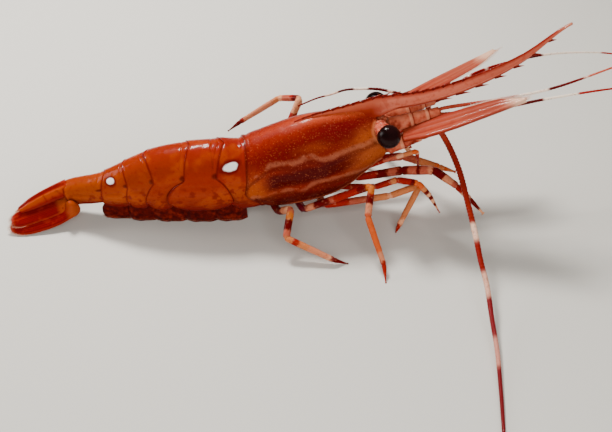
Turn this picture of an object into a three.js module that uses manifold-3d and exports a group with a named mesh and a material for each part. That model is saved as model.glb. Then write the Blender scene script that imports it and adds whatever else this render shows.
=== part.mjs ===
// A spot prawn at life size, as a museum model, in millimetres.
// +X runs towards the head, +Y to the animal's left and +Z up; it stands on the plane z = 0.
// The origin is the middle of the box round it, on that plane.
// Shell plates, eyes, feelers and limbs are separate solids with thin gaps between them.
import * as THREE from "three";
import { mergeVertices } from "three/addons/utils/BufferGeometryUtils.js";
import Module from "manifold-3d";

const wasm = await Module();
wasm.setup();

const V = (x, y, z) => new THREE.Vector3(x, y, z);
const { lerp, degToRad, clamp } = THREE.MathUtils;

// ---- Driving dimensions ----
const CARAPACE_LENGTH = 48; // hind margin to the eye socket
const GAP = 0.3; // clearance between neighbouring solids
const RING_GAP = 0.6; // clearance between the shell rings, which bow past each other
const SHELL = 1.3; // thickness of the side plates that hang below the body
const FEELER_TIP = 0.28; // smallest radius of any feeler
const NECK = V(21.2, -3.3, 18.6); // middle of the carapace's hind margin
const MIDDLE = V(46.85, -39.65, 0); // middle of the whole outline from above, moved to the origin
const PITCH = 12; // the carapace is raised by this, in degrees
const YAW = 10.5; // and turned to the left by this

// ---- Materials ----
const finish = (color, roughness) =>
  new THREE.MeshStandardMaterial({ color, roughness, metalness: 0 });
const SHELL_RED = finish(0xb5371c, 0.3);
const SHELL_ORANGE = finish(0xc9541f, 0.3);
const ROSTRUM_RED = finish(0xc4503a, 0.35);
const TAIL_RED = finish(0xa81c10, 0.3);
const SCALE_PINK = finish(0xbf5440, 0.35);
const LIMB_BANDED = finish(0xc9745a, 0.4);
const FEELER_RED = finish(0x9c1f1c, 0.4);
const EYE_BLACK = finish(0x0a0606, 0.08);
const FLESH = finish(0x9a3a22, 0.5);

// ---- Making closed solids ----

// Joins rings of points into a skin. A ring of one point closes that end to a tip.
// cap(n) gives the triangles that close an end ring of n points; the default is a fan.
function skin(rings, cap = fanCap) {
  const points = rings.flat();
  const faces = [];
  let start = 0;
  for (let r = 0; r + 1 < rings.length; r++) {
    const n = rings[r].length;
    const m = rings[r + 1].length;
    const next = start + n;
    const sides = Math.max(n, m);
    for (let i = 0; i < sides; i++) {
      const j = (i + 1) % sides;
      const a = start + (n > 1 ? i : 0);
      const b = start + (n > 1 ? j : 0);
      const c = next + (m > 1 ? j : 0);
      const d = next + (m > 1 ? i : 0);
      if (n > 1) faces.push([a, b, c]);
      if (m > 1) faces.push([a, c, d]);
    }
    start = next;
  }
  const last = rings[rings.length - 1].length;
  if (rings[0].length > 1)
    for (const [a, b, c] of cap(rings[0].length)) faces.push([a, c, b]);
  if (last > 1)
    for (const t of cap(last)) faces.push(t.map((i) => i + start));
  return solid(points, faces);
}

function fanCap(n) {
  const faces = [];
  for (let i = 1; i + 1 < n; i++) faces.push([0, i, i + 1]);
  return faces;
}

// A manifold solid from points and triangles, turned to face outwards.
function solid(points, faces) {
  const build = (list) =>
    new wasm.Manifold(
      new wasm.Mesh({
        numProp: 3,
        vertProperties: new Float32Array(points.flatMap((p) => p.toArray())),
        triVerts: new Uint32Array(list.flat()),
      }),
    );
  const made = build(faces);
  return made.volume() < 0 ? build(faces.map(([a, b, c]) => [a, c, b])) : made;
}

// A three.js geometry as a solid, for cuts and joins.
function solidOf(geometry) {
  const bare = geometry.clone();
  for (const name of Object.keys(bare.attributes))
    if (name !== "position") bare.deleteAttribute(name);
  const merged = mergeVertices(bare, 1e-4);
  return new wasm.Manifold(
    new wasm.Mesh({
      numProp: 3,
      vertProperties: merged.attributes.position.array,
      triVerts: new Uint32Array(merged.index.array),
    }),
  );
}

function geometryOf(made) {
  const m = made.getMesh();
  const position = new Float32Array(m.numVert * 3);
  for (let i = 0; i < m.numVert; i++)
    for (let k = 0; k < 3; k++)
      position[i * 3 + k] = m.vertProperties[i * m.numProp + k];
  const g = new THREE.BufferGeometry();
  g.setAttribute("position", new THREE.BufferAttribute(position, 3));
  g.setIndex(new THREE.BufferAttribute(new Uint32Array(m.triVerts), 1));
  return g;
}

function place(group, name, made, material) {
  const mesh = new THREE.Mesh(geometryOf(made), material);
  mesh.name = name;
  group.add(mesh);
  return mesh;
}

// Everything below the floor is cut off, which leaves the small flats that it rests on.
const standOnFloor = (made) => made.trimByPlane([0, 0, 1], 0);

// A value read from evenly spaced knots, smoothly, at t from 0 to 1.
function along(knots, t) {
  const u = clamp(t, 0, 1) * (knots.length - 1);
  const i = Math.min(Math.floor(u), knots.length - 2);
  const f = u - i;
  const a = knots[Math.max(i - 1, 0)];
  const b = knots[i];
  const c = knots[i + 1];
  const d = knots[Math.min(i + 2, knots.length - 1)];
  const rise = (c - a) / 2;
  const fall = (d - b) / 2;
  return (
    b + f * (rise + f * (3 * (c - b) - 2 * rise - fall + f * (2 * (b - c) + rise + fall)))
  );
}

// Sweeps an oval along stations of {at, radius, flat}: flat squashes the oval across "up".
function sweep(stations, sides, up = V(0, 0, 1)) {
  const rings = stations.map((s, i) => {
    const before = stations[Math.max(i - 1, 0)].at;
    const after = stations[Math.min(i + 1, stations.length - 1)].at;
    const tangent = after.clone().sub(before).normalize();
    const side = tangent.clone().cross(up).normalize();
    const top = side.clone().cross(tangent).normalize();
    const ring = [];
    for (let k = 0; k < sides; k++) {
      const a = ((k + 0.5) / sides) * 2 * Math.PI;
      ring.push(
        s.at
          .clone()
          .addScaledVector(side, Math.cos(a) * s.radius)
          .addScaledVector(top, Math.sin(a) * s.radius * (s.flat ?? 1)),
      );
    }
    return ring;
  });
  return skin(rings);
}

// Stations on a smooth curve through points, with the radius read from knots.
function feeler(points, radii, steps, from = 0, to = 1) {
  const curve = new THREE.CatmullRomCurve3(points);
  const stations = [];
  for (let i = 0; i <= steps; i++) {
    const t = lerp(from, to, i / steps);
    stations.push({ at: curve.getPointAt(t), radius: along(radii, t) });
  }
  return stations;
}

// Stations along straight limb segments, with each joint turned in a short arc.
function limbStations(joints, radii, bendSteps = 2) {
  const stations = [{ at: joints[0], radius: radii[0] }];
  for (let i = 1; i + 1 < joints.length; i++) {
    const p = joints[i];
    const back = joints[i - 1].clone().sub(p);
    const ahead = joints[i + 1].clone().sub(p);
    const angle = back.angleTo(ahead);
    const reach = Math.min(
      (radii[i] * 1.35) / Math.tan(angle / 2) + 0.3,
      back.length() * 0.45,
      ahead.length() * 0.45,
    );
    const bend = new THREE.QuadraticBezierCurve3(
      p.clone().addScaledVector(back.normalize(), reach),
      p,
      p.clone().addScaledVector(ahead.normalize(), reach),
    );
    for (let k = 0; k <= bendSteps; k++)
      stations.push({ at: bend.getPoint(k / bendSteps), radius: radii[i] });
  }
  stations.push({ at: joints[joints.length - 1], radius: radii[radii.length - 1] });
  return stations;
}

// ---- Shell sections ----
// Every ring of the body is an arch over the back, two side plates hanging below it, and the
// underside between them. ARCH points run down one side, then FLAP points to the plate's edge.
const ARCH = 6;
const FLAP = 3;
const INNER = 2;
const HALF = ARCH + FLAP + INNER; // points from the back's ridge to the middle of the underside
const UNDERSIDE = 0.35; // where the underside lies, as a share of the depth below the axis

// Point i of one side, for half-width w, height u above the axis and depth d below it.
function sectionPoint(i, w, u, d, ridge = 0) {
  if (i < ARCH) {
    const a = ((90 - 18 * i) * Math.PI) / 180;
    return [w * Math.cos(a), u * Math.sin(a) + (i === 0 ? ridge : 0)];
  }
  if (i < ARCH + FLAP) {
    const q = lerp(UNDERSIDE, 1, (i - ARCH) / (FLAP - 1));
    return [w * (1 - 0.16 * q * q), -d * q];
  }
  if (i < HALF) {
    const q = lerp(0.8, UNDERSIDE + 0.1, (i - ARCH - FLAP) / (INNER - 1));
    return [w * (1 - 0.16 * q * q) - SHELL - 0.4 * (1 - q), -d * q];
  }
  return [0, -d * UNDERSIDE - 0.4];
}

// Which share of the way down the side point i lies, from 0 on the ridge to 1 at the edge.
const EDGE = ARCH + FLAP - 1;
const downSide = (i) => (i <= EDGE ? i : i === EDGE + 1 ? EDGE - 0.6 : ARCH) / EDGE;

// The closed ring, down the right side and up the left, from point(i, side).
function shellRing(point) {
  const ring = [];
  for (let i = 0; i <= HALF; i++) ring.push(point(i, -1));
  for (let i = HALF - 1; i > 0; i--) ring.push(point(i, 1));
  return ring;
}

// The same ring's end face: rungs across the arch, then a strip down each side plate.
function shellCap(n) {
  const faces = [];
  const left = (i) => (i === 0 || i === HALF ? i : n - i);
  const quad = (a, b, c, d) => faces.push([a, b, c], [a, c, d]);
  faces.push([0, 1, left(1)]);
  for (let i = 1; i < ARCH; i++) quad(i, i + 1, left(i + 1), left(i));
  const top = HALF - 1;
  faces.push([ARCH, top, HALF], [ARCH, HALF, left(ARCH)], [left(ARCH), HALF, left(top)]);
  for (const s of [(i) => i, left]) {
    const strip = [
      [ARCH, ARCH + 1, top - 1],
      [ARCH, top - 1, top],
      [ARCH + 1, ARCH + 2, top - 1],
    ];
    for (const [a, b, c] of strip)
      faces.push(s === left ? [s(a), s(c), s(b)] : [s(a), s(b), s(c)]);
  }
  return faces;
}

// ---- Carapace and head, in the head's own frame: x from the neck forwards ----
const head = new THREE.Group();
head.position.copy(NECK);
head.rotation.set(0, degToRad(-PITCH), degToRad(YAW), "ZYX");
head.updateMatrix();
const inBody = (x, y, z) => V(x, y, z).applyMatrix4(head.matrix);

const CARAPACE = {
  width: [10.4, 11.2, 11.6, 11.5, 10.6, 9.2, 7.8],
  height: [11.2, 12.0, 13.2, 13.7, 13.0, 12.0, 11.2],
  depth: [10.2, 12.2, 13.0, 13.0, 11.8, 8.2, 4.6],
};
const carapaceAt = (x) => {
  const t = x / CARAPACE_LENGTH;
  return [
    along(CARAPACE.width, t),
    along(CARAPACE.height, t),
    along(CARAPACE.depth, t),
  ];
};
// The hind margin bows back at mid-side and rounds forward to its lower corner.
const hindMargin = (q) => along([2.2, 1.7, 0.8, -0.3, -1.4, 2.4], q);
// The front margin is notched round the eye.
const frontMargin = (q) => CARAPACE_LENGTH - along([0.4, 2.0, 3.4, 0.2, 0, 1.6], q);

function carapaceSolid() {
  const steps = 9;
  const rings = [];
  for (let k = 0; k <= steps; k++)
    rings.push(
      shellRing((i, side) => {
        const q = downSide(i);
        const x = lerp(hindMargin(q), frontMargin(q), k / steps);
        const [w, u, d] = carapaceAt(x);
        const [y, z] = sectionPoint(i, w, u, d, 0.6);
        return V(x, side * y, z);
      }),
    );
  return skin(rings, shellCap);
}

// ---- Rostrum: a long saw-edged blade that sweeps up in front of the eyes ----
const ROSTRUM = {
  length: 68,
  rise: [12.4, 10.6, 12.0, 16.6, 25.2], // its mid-line above the axis
  depth: [6.4, 5.6, 5.0, 3.4, 0.7], // top edge to bottom edge
  width: [5.2, 2.6, 2.0, 1.6, 0.7], // across the side keels
};
const CREST = { from: 20, height: 4.2 }; // the blade's root along the carapace

function rostrumAt(t) {
  return {
    x: CARAPACE_LENGTH + ROSTRUM.length * t,
    z: along(ROSTRUM.rise, t),
    deep: along(ROSTRUM.depth, t),
    wide: along(ROSTRUM.width, t),
  };
}

// A spine that lies forward along an edge: a slim four-sided cone.
function spine(root, tip, radius) {
  const cone = new THREE.ConeGeometry(radius, root.distanceTo(tip), 4);
  const aim = new THREE.Quaternion().setFromUnitVectors(
    V(0, 1, 0),
    tip.clone().sub(root).normalize(),
  );
  cone.applyQuaternion(aim);
  const middle = root.clone().add(tip).multiplyScalar(0.5);
  cone.translate(middle.x, middle.y, middle.z);
  return solidOf(cone);
}

function rostrumSolid() {
  const steps = 9;
  const rings = [];
  for (let k = 0; k <= steps; k++) {
    const r = rostrumAt(lerp(GAP / ROSTRUM.length, 1, k / steps));
    const half = r.deep / 2;
    const edge = Math.min(0.4, r.wide / 2);
    const keel = -half * 0.2; // the side keels lie a little below the middle
    const outline = [
      [0, half],
      [edge, half * 0.7],
      [r.wide / 2, keel],
      [edge, -half * 0.75],
      [0, -half],
      [-edge, -half * 0.75],
      [-r.wide / 2, keel],
      [-edge, half * 0.7],
    ];
    rings.push(outline.map(([y, z]) => V(r.x, y, r.z + z)));
  }
  let blade = skin(rings);
  const TOP_TEETH = 9;
  for (let k = 0; k < TOP_TEETH; k++) {
    const r = rostrumAt(lerp(0.02, 0.44, k / (TOP_TEETH - 1)));
    const root = V(r.x, 0, r.z + r.deep / 2 - 0.6);
    blade = blade.add(spine(root, root.clone().add(V(3.0, 0, 1.0)), 0.6));
  }
  const LOW_TEETH = 7;
  for (let k = 0; k < LOW_TEETH; k++) {
    const r = rostrumAt(lerp(0.3, 0.88, k / (LOW_TEETH - 1)));
    const size = lerp(5.5, 2.6, k / (LOW_TEETH - 1));
    const root = V(r.x, 0, r.z - r.deep / 2 + 0.5);
    blade = blade.add(spine(root, root.clone().add(V(size, 0, -size * 0.12)), size * 0.2));
  }
  return blade;
}

// The crest carries the blade's line back over the carapace, with its own row of spines.
function withCrest(shell) {
  const steps = 4;
  const rings = [];
  for (let k = 0; k <= steps; k++) {
    const x = lerp(CREST.from, CARAPACE_LENGTH, k / steps);
    const [, u] = carapaceAt(x);
    const high = u + 0.3 + (CREST.height * k) / steps;
    const half = lerp(0.6, 1.6, k / steps);
    rings.push([V(x, -half, u - 3), V(x, half, u - 3), V(x, 0.4, high), V(x, -0.4, high)]);
  }
  let made = shell.add(skin(rings));
  const TEETH = 6;
  for (let k = 0; k < TEETH; k++) {
    const x = lerp(CREST.from + 3, CARAPACE_LENGTH - 5, k / (TEETH - 1));
    const [, u] = carapaceAt(x);
    const share = (x - CREST.from) / (CARAPACE_LENGTH - CREST.from);
    const root = V(x, 0, u + CREST.height * share - 0.6);
    made = made.add(spine(root, root.clone().add(V(3.0, 0, 1.0)), 0.6));
  }
  return made;
}

// ---- Eyes on short stalks ----
const EYE = { x: 49.4, y: 10.1, z: 5.8, radius: 4.0 };

function eyeSolid(side) {
  const ball = new THREE.SphereGeometry(EYE.radius, 14, 9);
  ball.translate(EYE.x, side * EYE.y, EYE.z);
  return solidOf(ball);
}

function eyestalkSolid(side) {
  const stations = [
    { at: V(50.6, side * (HEAD.width + GAP), 6.2), radius: 1.7 },
    { at: V(50.4, side * 7.2, 6.2), radius: 2.3 },
    { at: V(49.8, side * 10.0, 5.8), radius: 3.3 },
  ];
  const ball = new THREE.SphereGeometry(EYE.radius + GAP, 14, 9);
  ball.translate(EYE.x, side * EYE.y, EYE.z);
  return sweep(stations, 8, V(1, 0, 0)).subtract(solidOf(ball));
}

// ---- The front of the head, between the eyes, which carries the feelers ----
const HEAD = { from: 48.4, to: 52.5, width: 4.2, top: 8.6, bottom: -3.6 };

function headSolid() {
  const rings = [];
  const steps = 3;
  for (let k = 0; k <= steps; k++) {
    const t = k / steps;
    const w = lerp(HEAD.width, 3.6, t * t);
    const top = lerp(HEAD.top, 6.6, t);
    const bottom = lerp(HEAD.bottom, -2.0, t);
    const ring = [];
    for (let i = 0; i < 8; i++) {
      const a = ((i + 0.5) / 8) * 2 * Math.PI;
      const y = (w * Math.cos(a)) / Math.cos(Math.PI / 8);
      const share = (Math.sin(a) / Math.cos(Math.PI / 8) + 1) / 2;
      ring.push(V(lerp(HEAD.from, HEAD.to, t), y, lerp(bottom, top, share)));
    }
    rings.push(ring);
  }
  return skin(rings);
}

// ---- Feelers: short jointed stems, then long whips ----
const LITTLE_STEM = { from: 52.9, to: 68.4, y: 2.4, z: 4.8, rise: 1.2, radius: 2.1 };
const BIG_STEM = { from: 48.4, to: 66.6, y: 7.4, z: -0.7, out: 0.7, rise: 3.4, radius: 2.4 };

function littleStem(side) {
  const s = LITTLE_STEM;
  const stations = [];
  for (const t of [0, 0.45, 0.5, 0.75, 0.8, 1])
    stations.push({
      at: V(lerp(s.from, s.to, t), side * (s.y + 0.6 * t), s.z + s.rise * t),
      radius: s.radius * (t === 0.5 || t === 0.8 ? 0.84 : 1) * (1 - 0.3 * t),
    });
  return sweep(stations, 8);
}

function bigStem(side) {
  const s = BIG_STEM;
  const stations = [];
  for (const t of [0, 0.3, 0.34, 0.62, 0.66, 1])
    stations.push({
      at: V(lerp(s.from, s.to, t), side * (s.y + s.out * t), s.z + s.rise * t),
      radius: s.radius * (t === 0.34 || t === 0.66 ? 0.86 : 1) * (1 - 0.45 * t),
    });
  return sweep(stations, 8);
}

// ---- Antennal scales: long flat blades beside the rostrum ----
const SCALE = {
  thickness: 0.9,
  inner: [2.0, 4.6, 5.2, 5.0, 4.2, 0.4], // width inside the blade's own mid-line
  outer: [2.6, 4.8, 4.8, 3.9, 2.8, 1.4],
  tilt: 4, // outer edge raised, in degrees
};
const SCALE_ROOT = V(54.4, 8.6, 3.5);
const SCALE_TIPS = { right: V(94.7, -15, 11.3), left: V(95.0, 19.4, 8.6) };

function scaleSolid(name, side) {
  const root = V(SCALE_ROOT.x, side * SCALE_ROOT.y, SCALE_ROOT.z);
  const tip = SCALE_TIPS[name];
  const along3 = tip.clone().sub(root).normalize();
  const tilt = degToRad(SCALE.tilt);
  const out = V(0, side * Math.cos(tilt), Math.sin(tilt));
  out.addScaledVector(along3, -out.dot(along3)).normalize();
  const up = along3.clone().cross(out).multiplyScalar(-side).normalize();
  const steps = 9;
  const rings = [];
  for (let k = 0; k <= steps; k++) {
    const t = k / steps;
    const middle = root.clone().lerp(tip, t);
    const inner = along(SCALE.inner, t);
    const outer = along(SCALE.outer, t);
    const h = SCALE.thickness / 2;
    const point = (a, b) => middle.clone().addScaledVector(out, a).addScaledVector(up, b);
    rings.push([
      point(outer, 0),
      point(outer * 0.6, h * 1.3),
      point(-inner, h * 0.7),
      point(-inner, -h * 0.7),
      point(outer * 0.6, -h),
    ]);
  }
  return skin(rings);
}

// ---- Underside of the thorax, which carries the limbs ----
function thoraxSolid() {
  const steps = 5;
  const rings = [];
  for (let k = 0; k <= steps; k++) {
    const x = lerp(2, 45, k / steps);
    const [w, , d] = carapaceAt(x);
    const wide = w - SHELL - 2.4;
    const top = -d * UNDERSIDE - 1.9;
    const low = -d * 0.86;
    rings.push([
      V(x, -wide, top),
      V(x, wide, top),
      V(x, wide * 0.92, lerp(top, low, 0.5)),
      V(x, wide * 0.55, low),
      V(x, -wide * 0.55, low),
      V(x, -wide * 0.92, lerp(top, low, 0.5)),
    ]);
  }
  return skin(rings);
}

// ---- Abdomen: six shell rings on a chain that arches down to the tail ----
// Hinge centres from the neck to the tail fan.
const HINGES = [
  NECK,
  V(11.6, -5.0, 18.1),
  V(1.4, -5.9, 17.4),
  V(-8.8, -6.9, 16.2),
  V(-17.4, -7.8, 14.4),
  V(-26.4, -8.2, 12.0),
  V(-40.6, -8.0, 9.2),
  V(-57.5, -16, 2.2),
];
// Sizes at the hinges, across, above and below.
const ABDOMEN = {
  width: [10.1, 9.9, 9.5, 8.5, 6.9, 5.1, 3.8],
  height: [10.9, 11.8, 11.4, 10.2, 8.0, 5.6, 3.4],
  depth: [11.0, 10.4, 9.8, 9.0, 7.2, 5.2, 4.2],
};
// How far each hinge line bows back over the ridge, and from the hinge down to the side
// plates' edges. The second ring's plates are the widest and lap over both neighbours.
const BOWS = [
  { ridge: 0, edge: [0, 0] },
  { ridge: -3.2, edge: [0, -1.9, -3.1, -3.9, -4.3, -4.3, -3.6] },
  { ridge: -2.2, edge: [0, 3.8, 5.9, 6.9, 7.1, 6.6, 5.1] },
  { ridge: 2.3, edge: [0, 1.8, 3.1, 4.1, 4.6, 4.8, 4.3] },
  { ridge: 0.8, edge: [0, 0.7, 1.3, 1.9, 2.2, 2.1, 1.5] },
  { ridge: -1.8, edge: [0, 0.35, 0.6, 0.9, 1.0, 0.9, 0.5] },
  { ridge: -0.5, edge: [0, 0] },
];
const HINGE_LINE = 0.5; // share of the way down where neighbouring rings pivot

const spineCurve = new THREE.CatmullRomCurve3(HINGES, false, "centripetal");
const reach = [0];
for (let i = 1; i < HINGES.length; i++)
  reach.push(reach[i - 1] + HINGES[i].distanceTo(HINGES[i - 1]));
const abdomenLength = reach[6];
const neckward = V(1, 0, 0).transformDirection(head.matrix);

// Place along the chain, s mm behind the neck, as hinge number and share.
function hingeShare(s) {
  let i = 0;
  while (i < 6 && s > reach[i + 1]) i++;
  return i + (s - reach[i]) / (reach[i + 1] - reach[i]);
}
function spineFrame(s) {
  const h = hingeShare(s);
  const at = spineCurve.getPoint(clamp(h / 7, 0, 1));
  if (s < 0) at.addScaledVector(neckward, -s);
  const ahead = spineCurve.getPoint(clamp((h - 0.1) / 7, 0, 1));
  const behind = spineCurve.getPoint(clamp((h + 0.1) / 7, 0, 1));
  const forward = ahead.sub(behind).normalize();
  forward.lerp(neckward, clamp(1 - s / 6, 0, 1)).normalize();
  const left = V(0, 0, 1).cross(forward).normalize();
  const up = forward.clone().cross(left).normalize();
  return { at, forward, left, up };
}
function abdomenPoint(s, i, side, swell, lobe) {
  const frame = spineFrame(s);
  const t = hingeShare(s) / 6;
  const [y, z] = sectionPoint(
    i,
    along(ABDOMEN.width, t) * swell,
    along(ABDOMEN.height, t) * swell,
    along(ABDOMEN.depth, t) * lobe,
  );
  return frame.at
    .clone()
    .addScaledVector(frame.left, side * y)
    .addScaledVector(frame.up, z);
}
function bow(hinge, q) {
  if (hinge === 0) return -hindMargin(q);
  const { ridge, edge } = BOWS[hinge];
  if (q < HINGE_LINE) return ridge * (1 - q / HINGE_LINE) ** 1.4;
  return along(edge, (q - HINGE_LINE) / (1 - HINGE_LINE));
}

// A side plate hangs lowest at its middle; the last ring's rises towards the fifth ring.
function plateDepth(number, f) {
  if (number === 6) return 1 - 0.35 * (1 - f) ** 1.5;
  if (number === 1 && f < 0.5) return 1;
  return 1 - 0.2 * Math.abs(2 * f - 1) ** 3;
}

function abdomenRing(number) {
  const steps = number === 6 ? 4 : 3;
  const rings = [];
  for (let k = 0; k <= steps; k++) {
    const f = k / steps;
    const swell = 0.995 + 0.008 * f;
    const lobe = plateDepth(number, f);
    rings.push(
      shellRing((i, side) => {
        const q = downSide(i);
        const from = reach[number - 1] + bow(number - 1, q);
        const to = reach[number] + bow(number, q);
        const s = lerp(from + RING_GAP, to, f);
        return abdomenPoint(s, i, side, swell, i >= ARCH ? lerp(1, lobe, (q - 0.75) * 4) : 1);
      }),
    );
  }
  return skin(rings, shellCap);
}

// ---- Swimmerets: a row of broad paddles under the belly, whose lower edges rest on the floor ----
function swimmeret(number, side) {
  const s = (reach[number - 1] + reach[number]) / 2;
  const frame = spineFrame(s);
  const t = hingeShare(s) / 6;
  const out = (along(ABDOMEN.width, t) - SHELL - 1.2) * 0.5;
  const top = frame.at.z - along(ABDOMEN.depth, t) * UNDERSIDE - 2.4;
  const long = (reach[number] - reach[number - 1]) * 0.46;
  const middle = frame.at.clone().addScaledVector(frame.left, side * out * 1.1);
  const shapes = [
    [top, 0.55, 0.7],
    [top * 0.6, 0.65, 1],
    [top * 0.25, 0.55, 1],
    [-0.3, 0.35, 0.75],
  ];
  const stations = shapes.map(([z, thick, length]) => ({
    at: V(middle.x, middle.y, z),
    radius: out * thick,
    flat: (long * length) / (out * thick),
  }));
  const fore = V(frame.forward.x, frame.forward.y, 0).normalize();
  return standOnFloor(sweep(stations, 10, fore));
}

// ---- Tail fan: the telson over two overlapping blades on each side, half closed ----
const tail = new THREE.Group();
const tailHinge = spineFrame(abdomenLength);
const TAIL = { turn: 27, climb: 13.5 };
tail.position.copy(tailHinge.at);
tail.rotation.set(0, degToRad(-TAIL.climb), degToRad(TAIL.turn), "ZYX");
tail.updateMatrix();
const TELSON = {
  from: 1.5,
  to: 17.4,
  width: [3.5, 3.1, 2.7, 2.1, 1.1],
  top: [4.0, 4.1, 3.9, 3.2, 1.8],
  bottom: [-0.1, -0.15, -0.1, 0.0, 0.3],
};

function telsonSolid() {
  const steps = 6;
  const rings = [];
  for (let k = 0; k <= steps; k++) {
    const t = k / steps;
    const w = along(TELSON.width, t);
    const high = along(TELSON.top, t);
    const low = along(TELSON.bottom, t);
    const rim = lerp(low, high, 0.1);
    const x = -lerp(TELSON.from, TELSON.to, t);
    rings.push([
      V(x, 0, high),
      V(x, w * 0.55, high * 0.86),
      V(x, w, rim),
      V(x, w * 0.8, low),
      V(x, -w * 0.8, low),
      V(x, -w, rim),
      V(x, -w * 0.55, high * 0.86),
    ]);
  }
  return skin(rings);
}

const ROOF = 29; // slope of the blades, in degrees
const LEFT_REACH = 0.82; // length of the left blades, as a share of the right ones

// A tail blade: an oval plate from root along a direction, tilted like a roof. The blades of
// the half-closed fan run in towards its middle, and lift as they do so to stay in their plane.
function tailBlade({ root, inward, length, widths, thickness }, side) {
  const steps = 7;
  const rings = [];
  const turn = degToRad(inward);
  const slope = degToRad(ROOF);
  const lift = Math.sin(turn) * Math.tan(slope);
  const along3 = V(-Math.cos(turn), -side * Math.sin(turn), lift).normalize();
  const out = V(0, side * Math.cos(slope), -Math.sin(slope));
  out.addScaledVector(along3, -out.dot(along3)).normalize();
  const up = out.clone().cross(along3).multiplyScalar(side).normalize();
  if (up.z < 0) up.negate();
  const extent = side > 0 ? length * LEFT_REACH : length;
  for (let k = 0; k <= steps; k++) {
    const t = k / steps;
    const middle = V(root.x, side * root.y, root.z).addScaledVector(along3, extent * t);
    const w = along(widths, t);
    const h = along(thickness, t) * 0.5;
    const point = (a, b) => middle.clone().addScaledVector(out, a).addScaledVector(up, b);
    rings.push([
      point(w, 0),
      point(w * 0.4, h),
      point(-w * 0.6, h),
      point(-w, 0),
      point(-w * 0.6, -h),
      point(w * 0.4, -h),
    ]);
  }
  return skin(rings);
}
const INNER_BLADE = {
  root: V(-2.2, 4.0, -2.0),
  inward: 3,
  length: 18.5,
  widths: [2.4, 2.8, 2.7, 2.3, 1.3],
  thickness: [0.65, 0.65, 0.6, 0.5, 0.4],
};
// The outer blade is thickest at its root, where it swells round its joint.
const OUTER_BLADE = {
  root: V(-0.8, 5.8, -4.05),
  inward: 7,
  length: 21.3,
  widths: [2.3, 3.9, 4.2, 3.8, 2.1],
  thickness: [1.5, 0.7, 0.7, 0.6, 0.45],
};

// ---- Limbs ----
// Each grows from the thorax at x along it and passes below the side plate. The mouth
// limbs then run forward; a walking leg swings out past the plate before it rises.
const LEG = [1.3, 1.3, 1.3, 1.25, 1.2, 0.95, 0.75, 0.4];
const LIMBS = {
  walking_leg_5_right: {
    hip: 5,
    outward: true,
    radii: LEG,
    joints: [V(37.7, -18, 13), V(36.4, -26.2, 7.2), V(52.6, -30.4, 1.9), V(57.4, -29.8, -0.2)],
  },
  walking_leg_4_right: {
    hip: 13.5,
    outward: true,
    radii: LEG,
    joints: [V(64.4, -13.6, 20.6), V(63.3, -22, 14), V(69.1, -33.2, 3), V(69.8, -38.6, -0.2)],
  },
  walking_leg_3_right: {
    hip: 21,
    outward: true,
    radii: LEG,
    joints: [V(71.4, -6.6, 11), V(81.6, -5.1, 15), V(75, -12, 2), V(74.2, -12.9, -0.2)],
  },
  walking_leg_5_left: {
    hip: 5,
    outward: true,
    radii: LEG,
    joints: [V(39.2, 26.6, 28), V(31.4, 32.2, 24), V(16.6, 36.2, 10), V(12.3, 32.8, 8)],
  },
  walking_leg_4_left: {
    hip: 13.5,
    outward: true,
    radii: LEG,
    joints: [V(52, 24, 23), V(54, 30, 16), V(52, 38, 3), V(51.4, 40, -0.2)],
  },
  walking_leg_3_left: {
    hip: 21,
    outward: true,
    radii: LEG,
    joints: [V(66, 26, 24), V(70, 31, 17), V(67, 39, 3), V(66.2, 41, -0.2)],
  },
  front_leg_2_right: {
    hip: 29,
    radii: [1.1, 1.1, 1.1, 1.15, 1.15, 0.95, 0.35],
    joints: [
      V(66.1, -7, 15),
      V(73.1, -9.1, 20),
      V(80.1, -10.4, 20),
      V(84.6, -10.9, 15),
      V(88.3, -13, 9.6),
    ],
  },
  front_leg_2_left: {
    hip: 29,
    radii: [1.1, 1.1, 1.1, 1.1, 0.9, 0.35],
    joints: [V(64, 11, 13), V(76, 17, 18), V(80, 19, 11), V(82, 19, 6)],
  },
  front_leg_1_right: {
    hip: 40,
    radii: [0.8, 0.8, 0.8, 0.9, 0.6],
    joints: [V(70.4, -1.6, 23), V(79.8, -0.4, 26), V(81, 1.6, 18.5)],
  },
  front_leg_1_left: {
    hip: 40,
    radii: [0.8, 0.8, 0.8, 0.9, 0.6],
    joints: [V(69, 8, 23), V(77, 11, 25), V(79, 12, 18.5)],
  },
  jaw_leg_right: {
    hip: 35,
    radii: [1.3, 1.3, 1.6, 1.6, 1.2, 0.95, 0.7],
    joints: [
      V(75.2, -2.6, 19.2),
      V(85.8, -4.2, 21),
      V(93.4, -10, 19),
      V(98.1, -11.8, 15),
      V(103.1, -13.2, 10),
    ],
  },
  jaw_leg_left: {
    hip: 35,
    radii: [1.3, 1.3, 1.5, 1.2, 0.7],
    joints: [V(76, 7, 18.2), V(88.8, 4.3, 16), V(94.3, 1.5, 16.2)],
  },
};

// From the hip straight down past the side plate's edge, then to the limb's own joints.
function limbSolid({ hip, outward, radii, joints }, side) {
  const [w, , d] = carapaceAt(hip);
  const r = radii[0];
  const across = side * (w - SHELL - 2.4) * 0.6;
  const path = [
    inBody(hip, across, -d * 0.86 - GAP - 0.2),
    inBody(hip + 1.2, across * 1.2, -d - r - 0.5),
  ];
  if (outward) path.push(inBody(hip + 2.5, side * (w * 0.84 + r + 0.9), -d - r - 0.5));
  return standOnFloor(sweep(limbStations([...path, ...joints], radii), 6));
}

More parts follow.
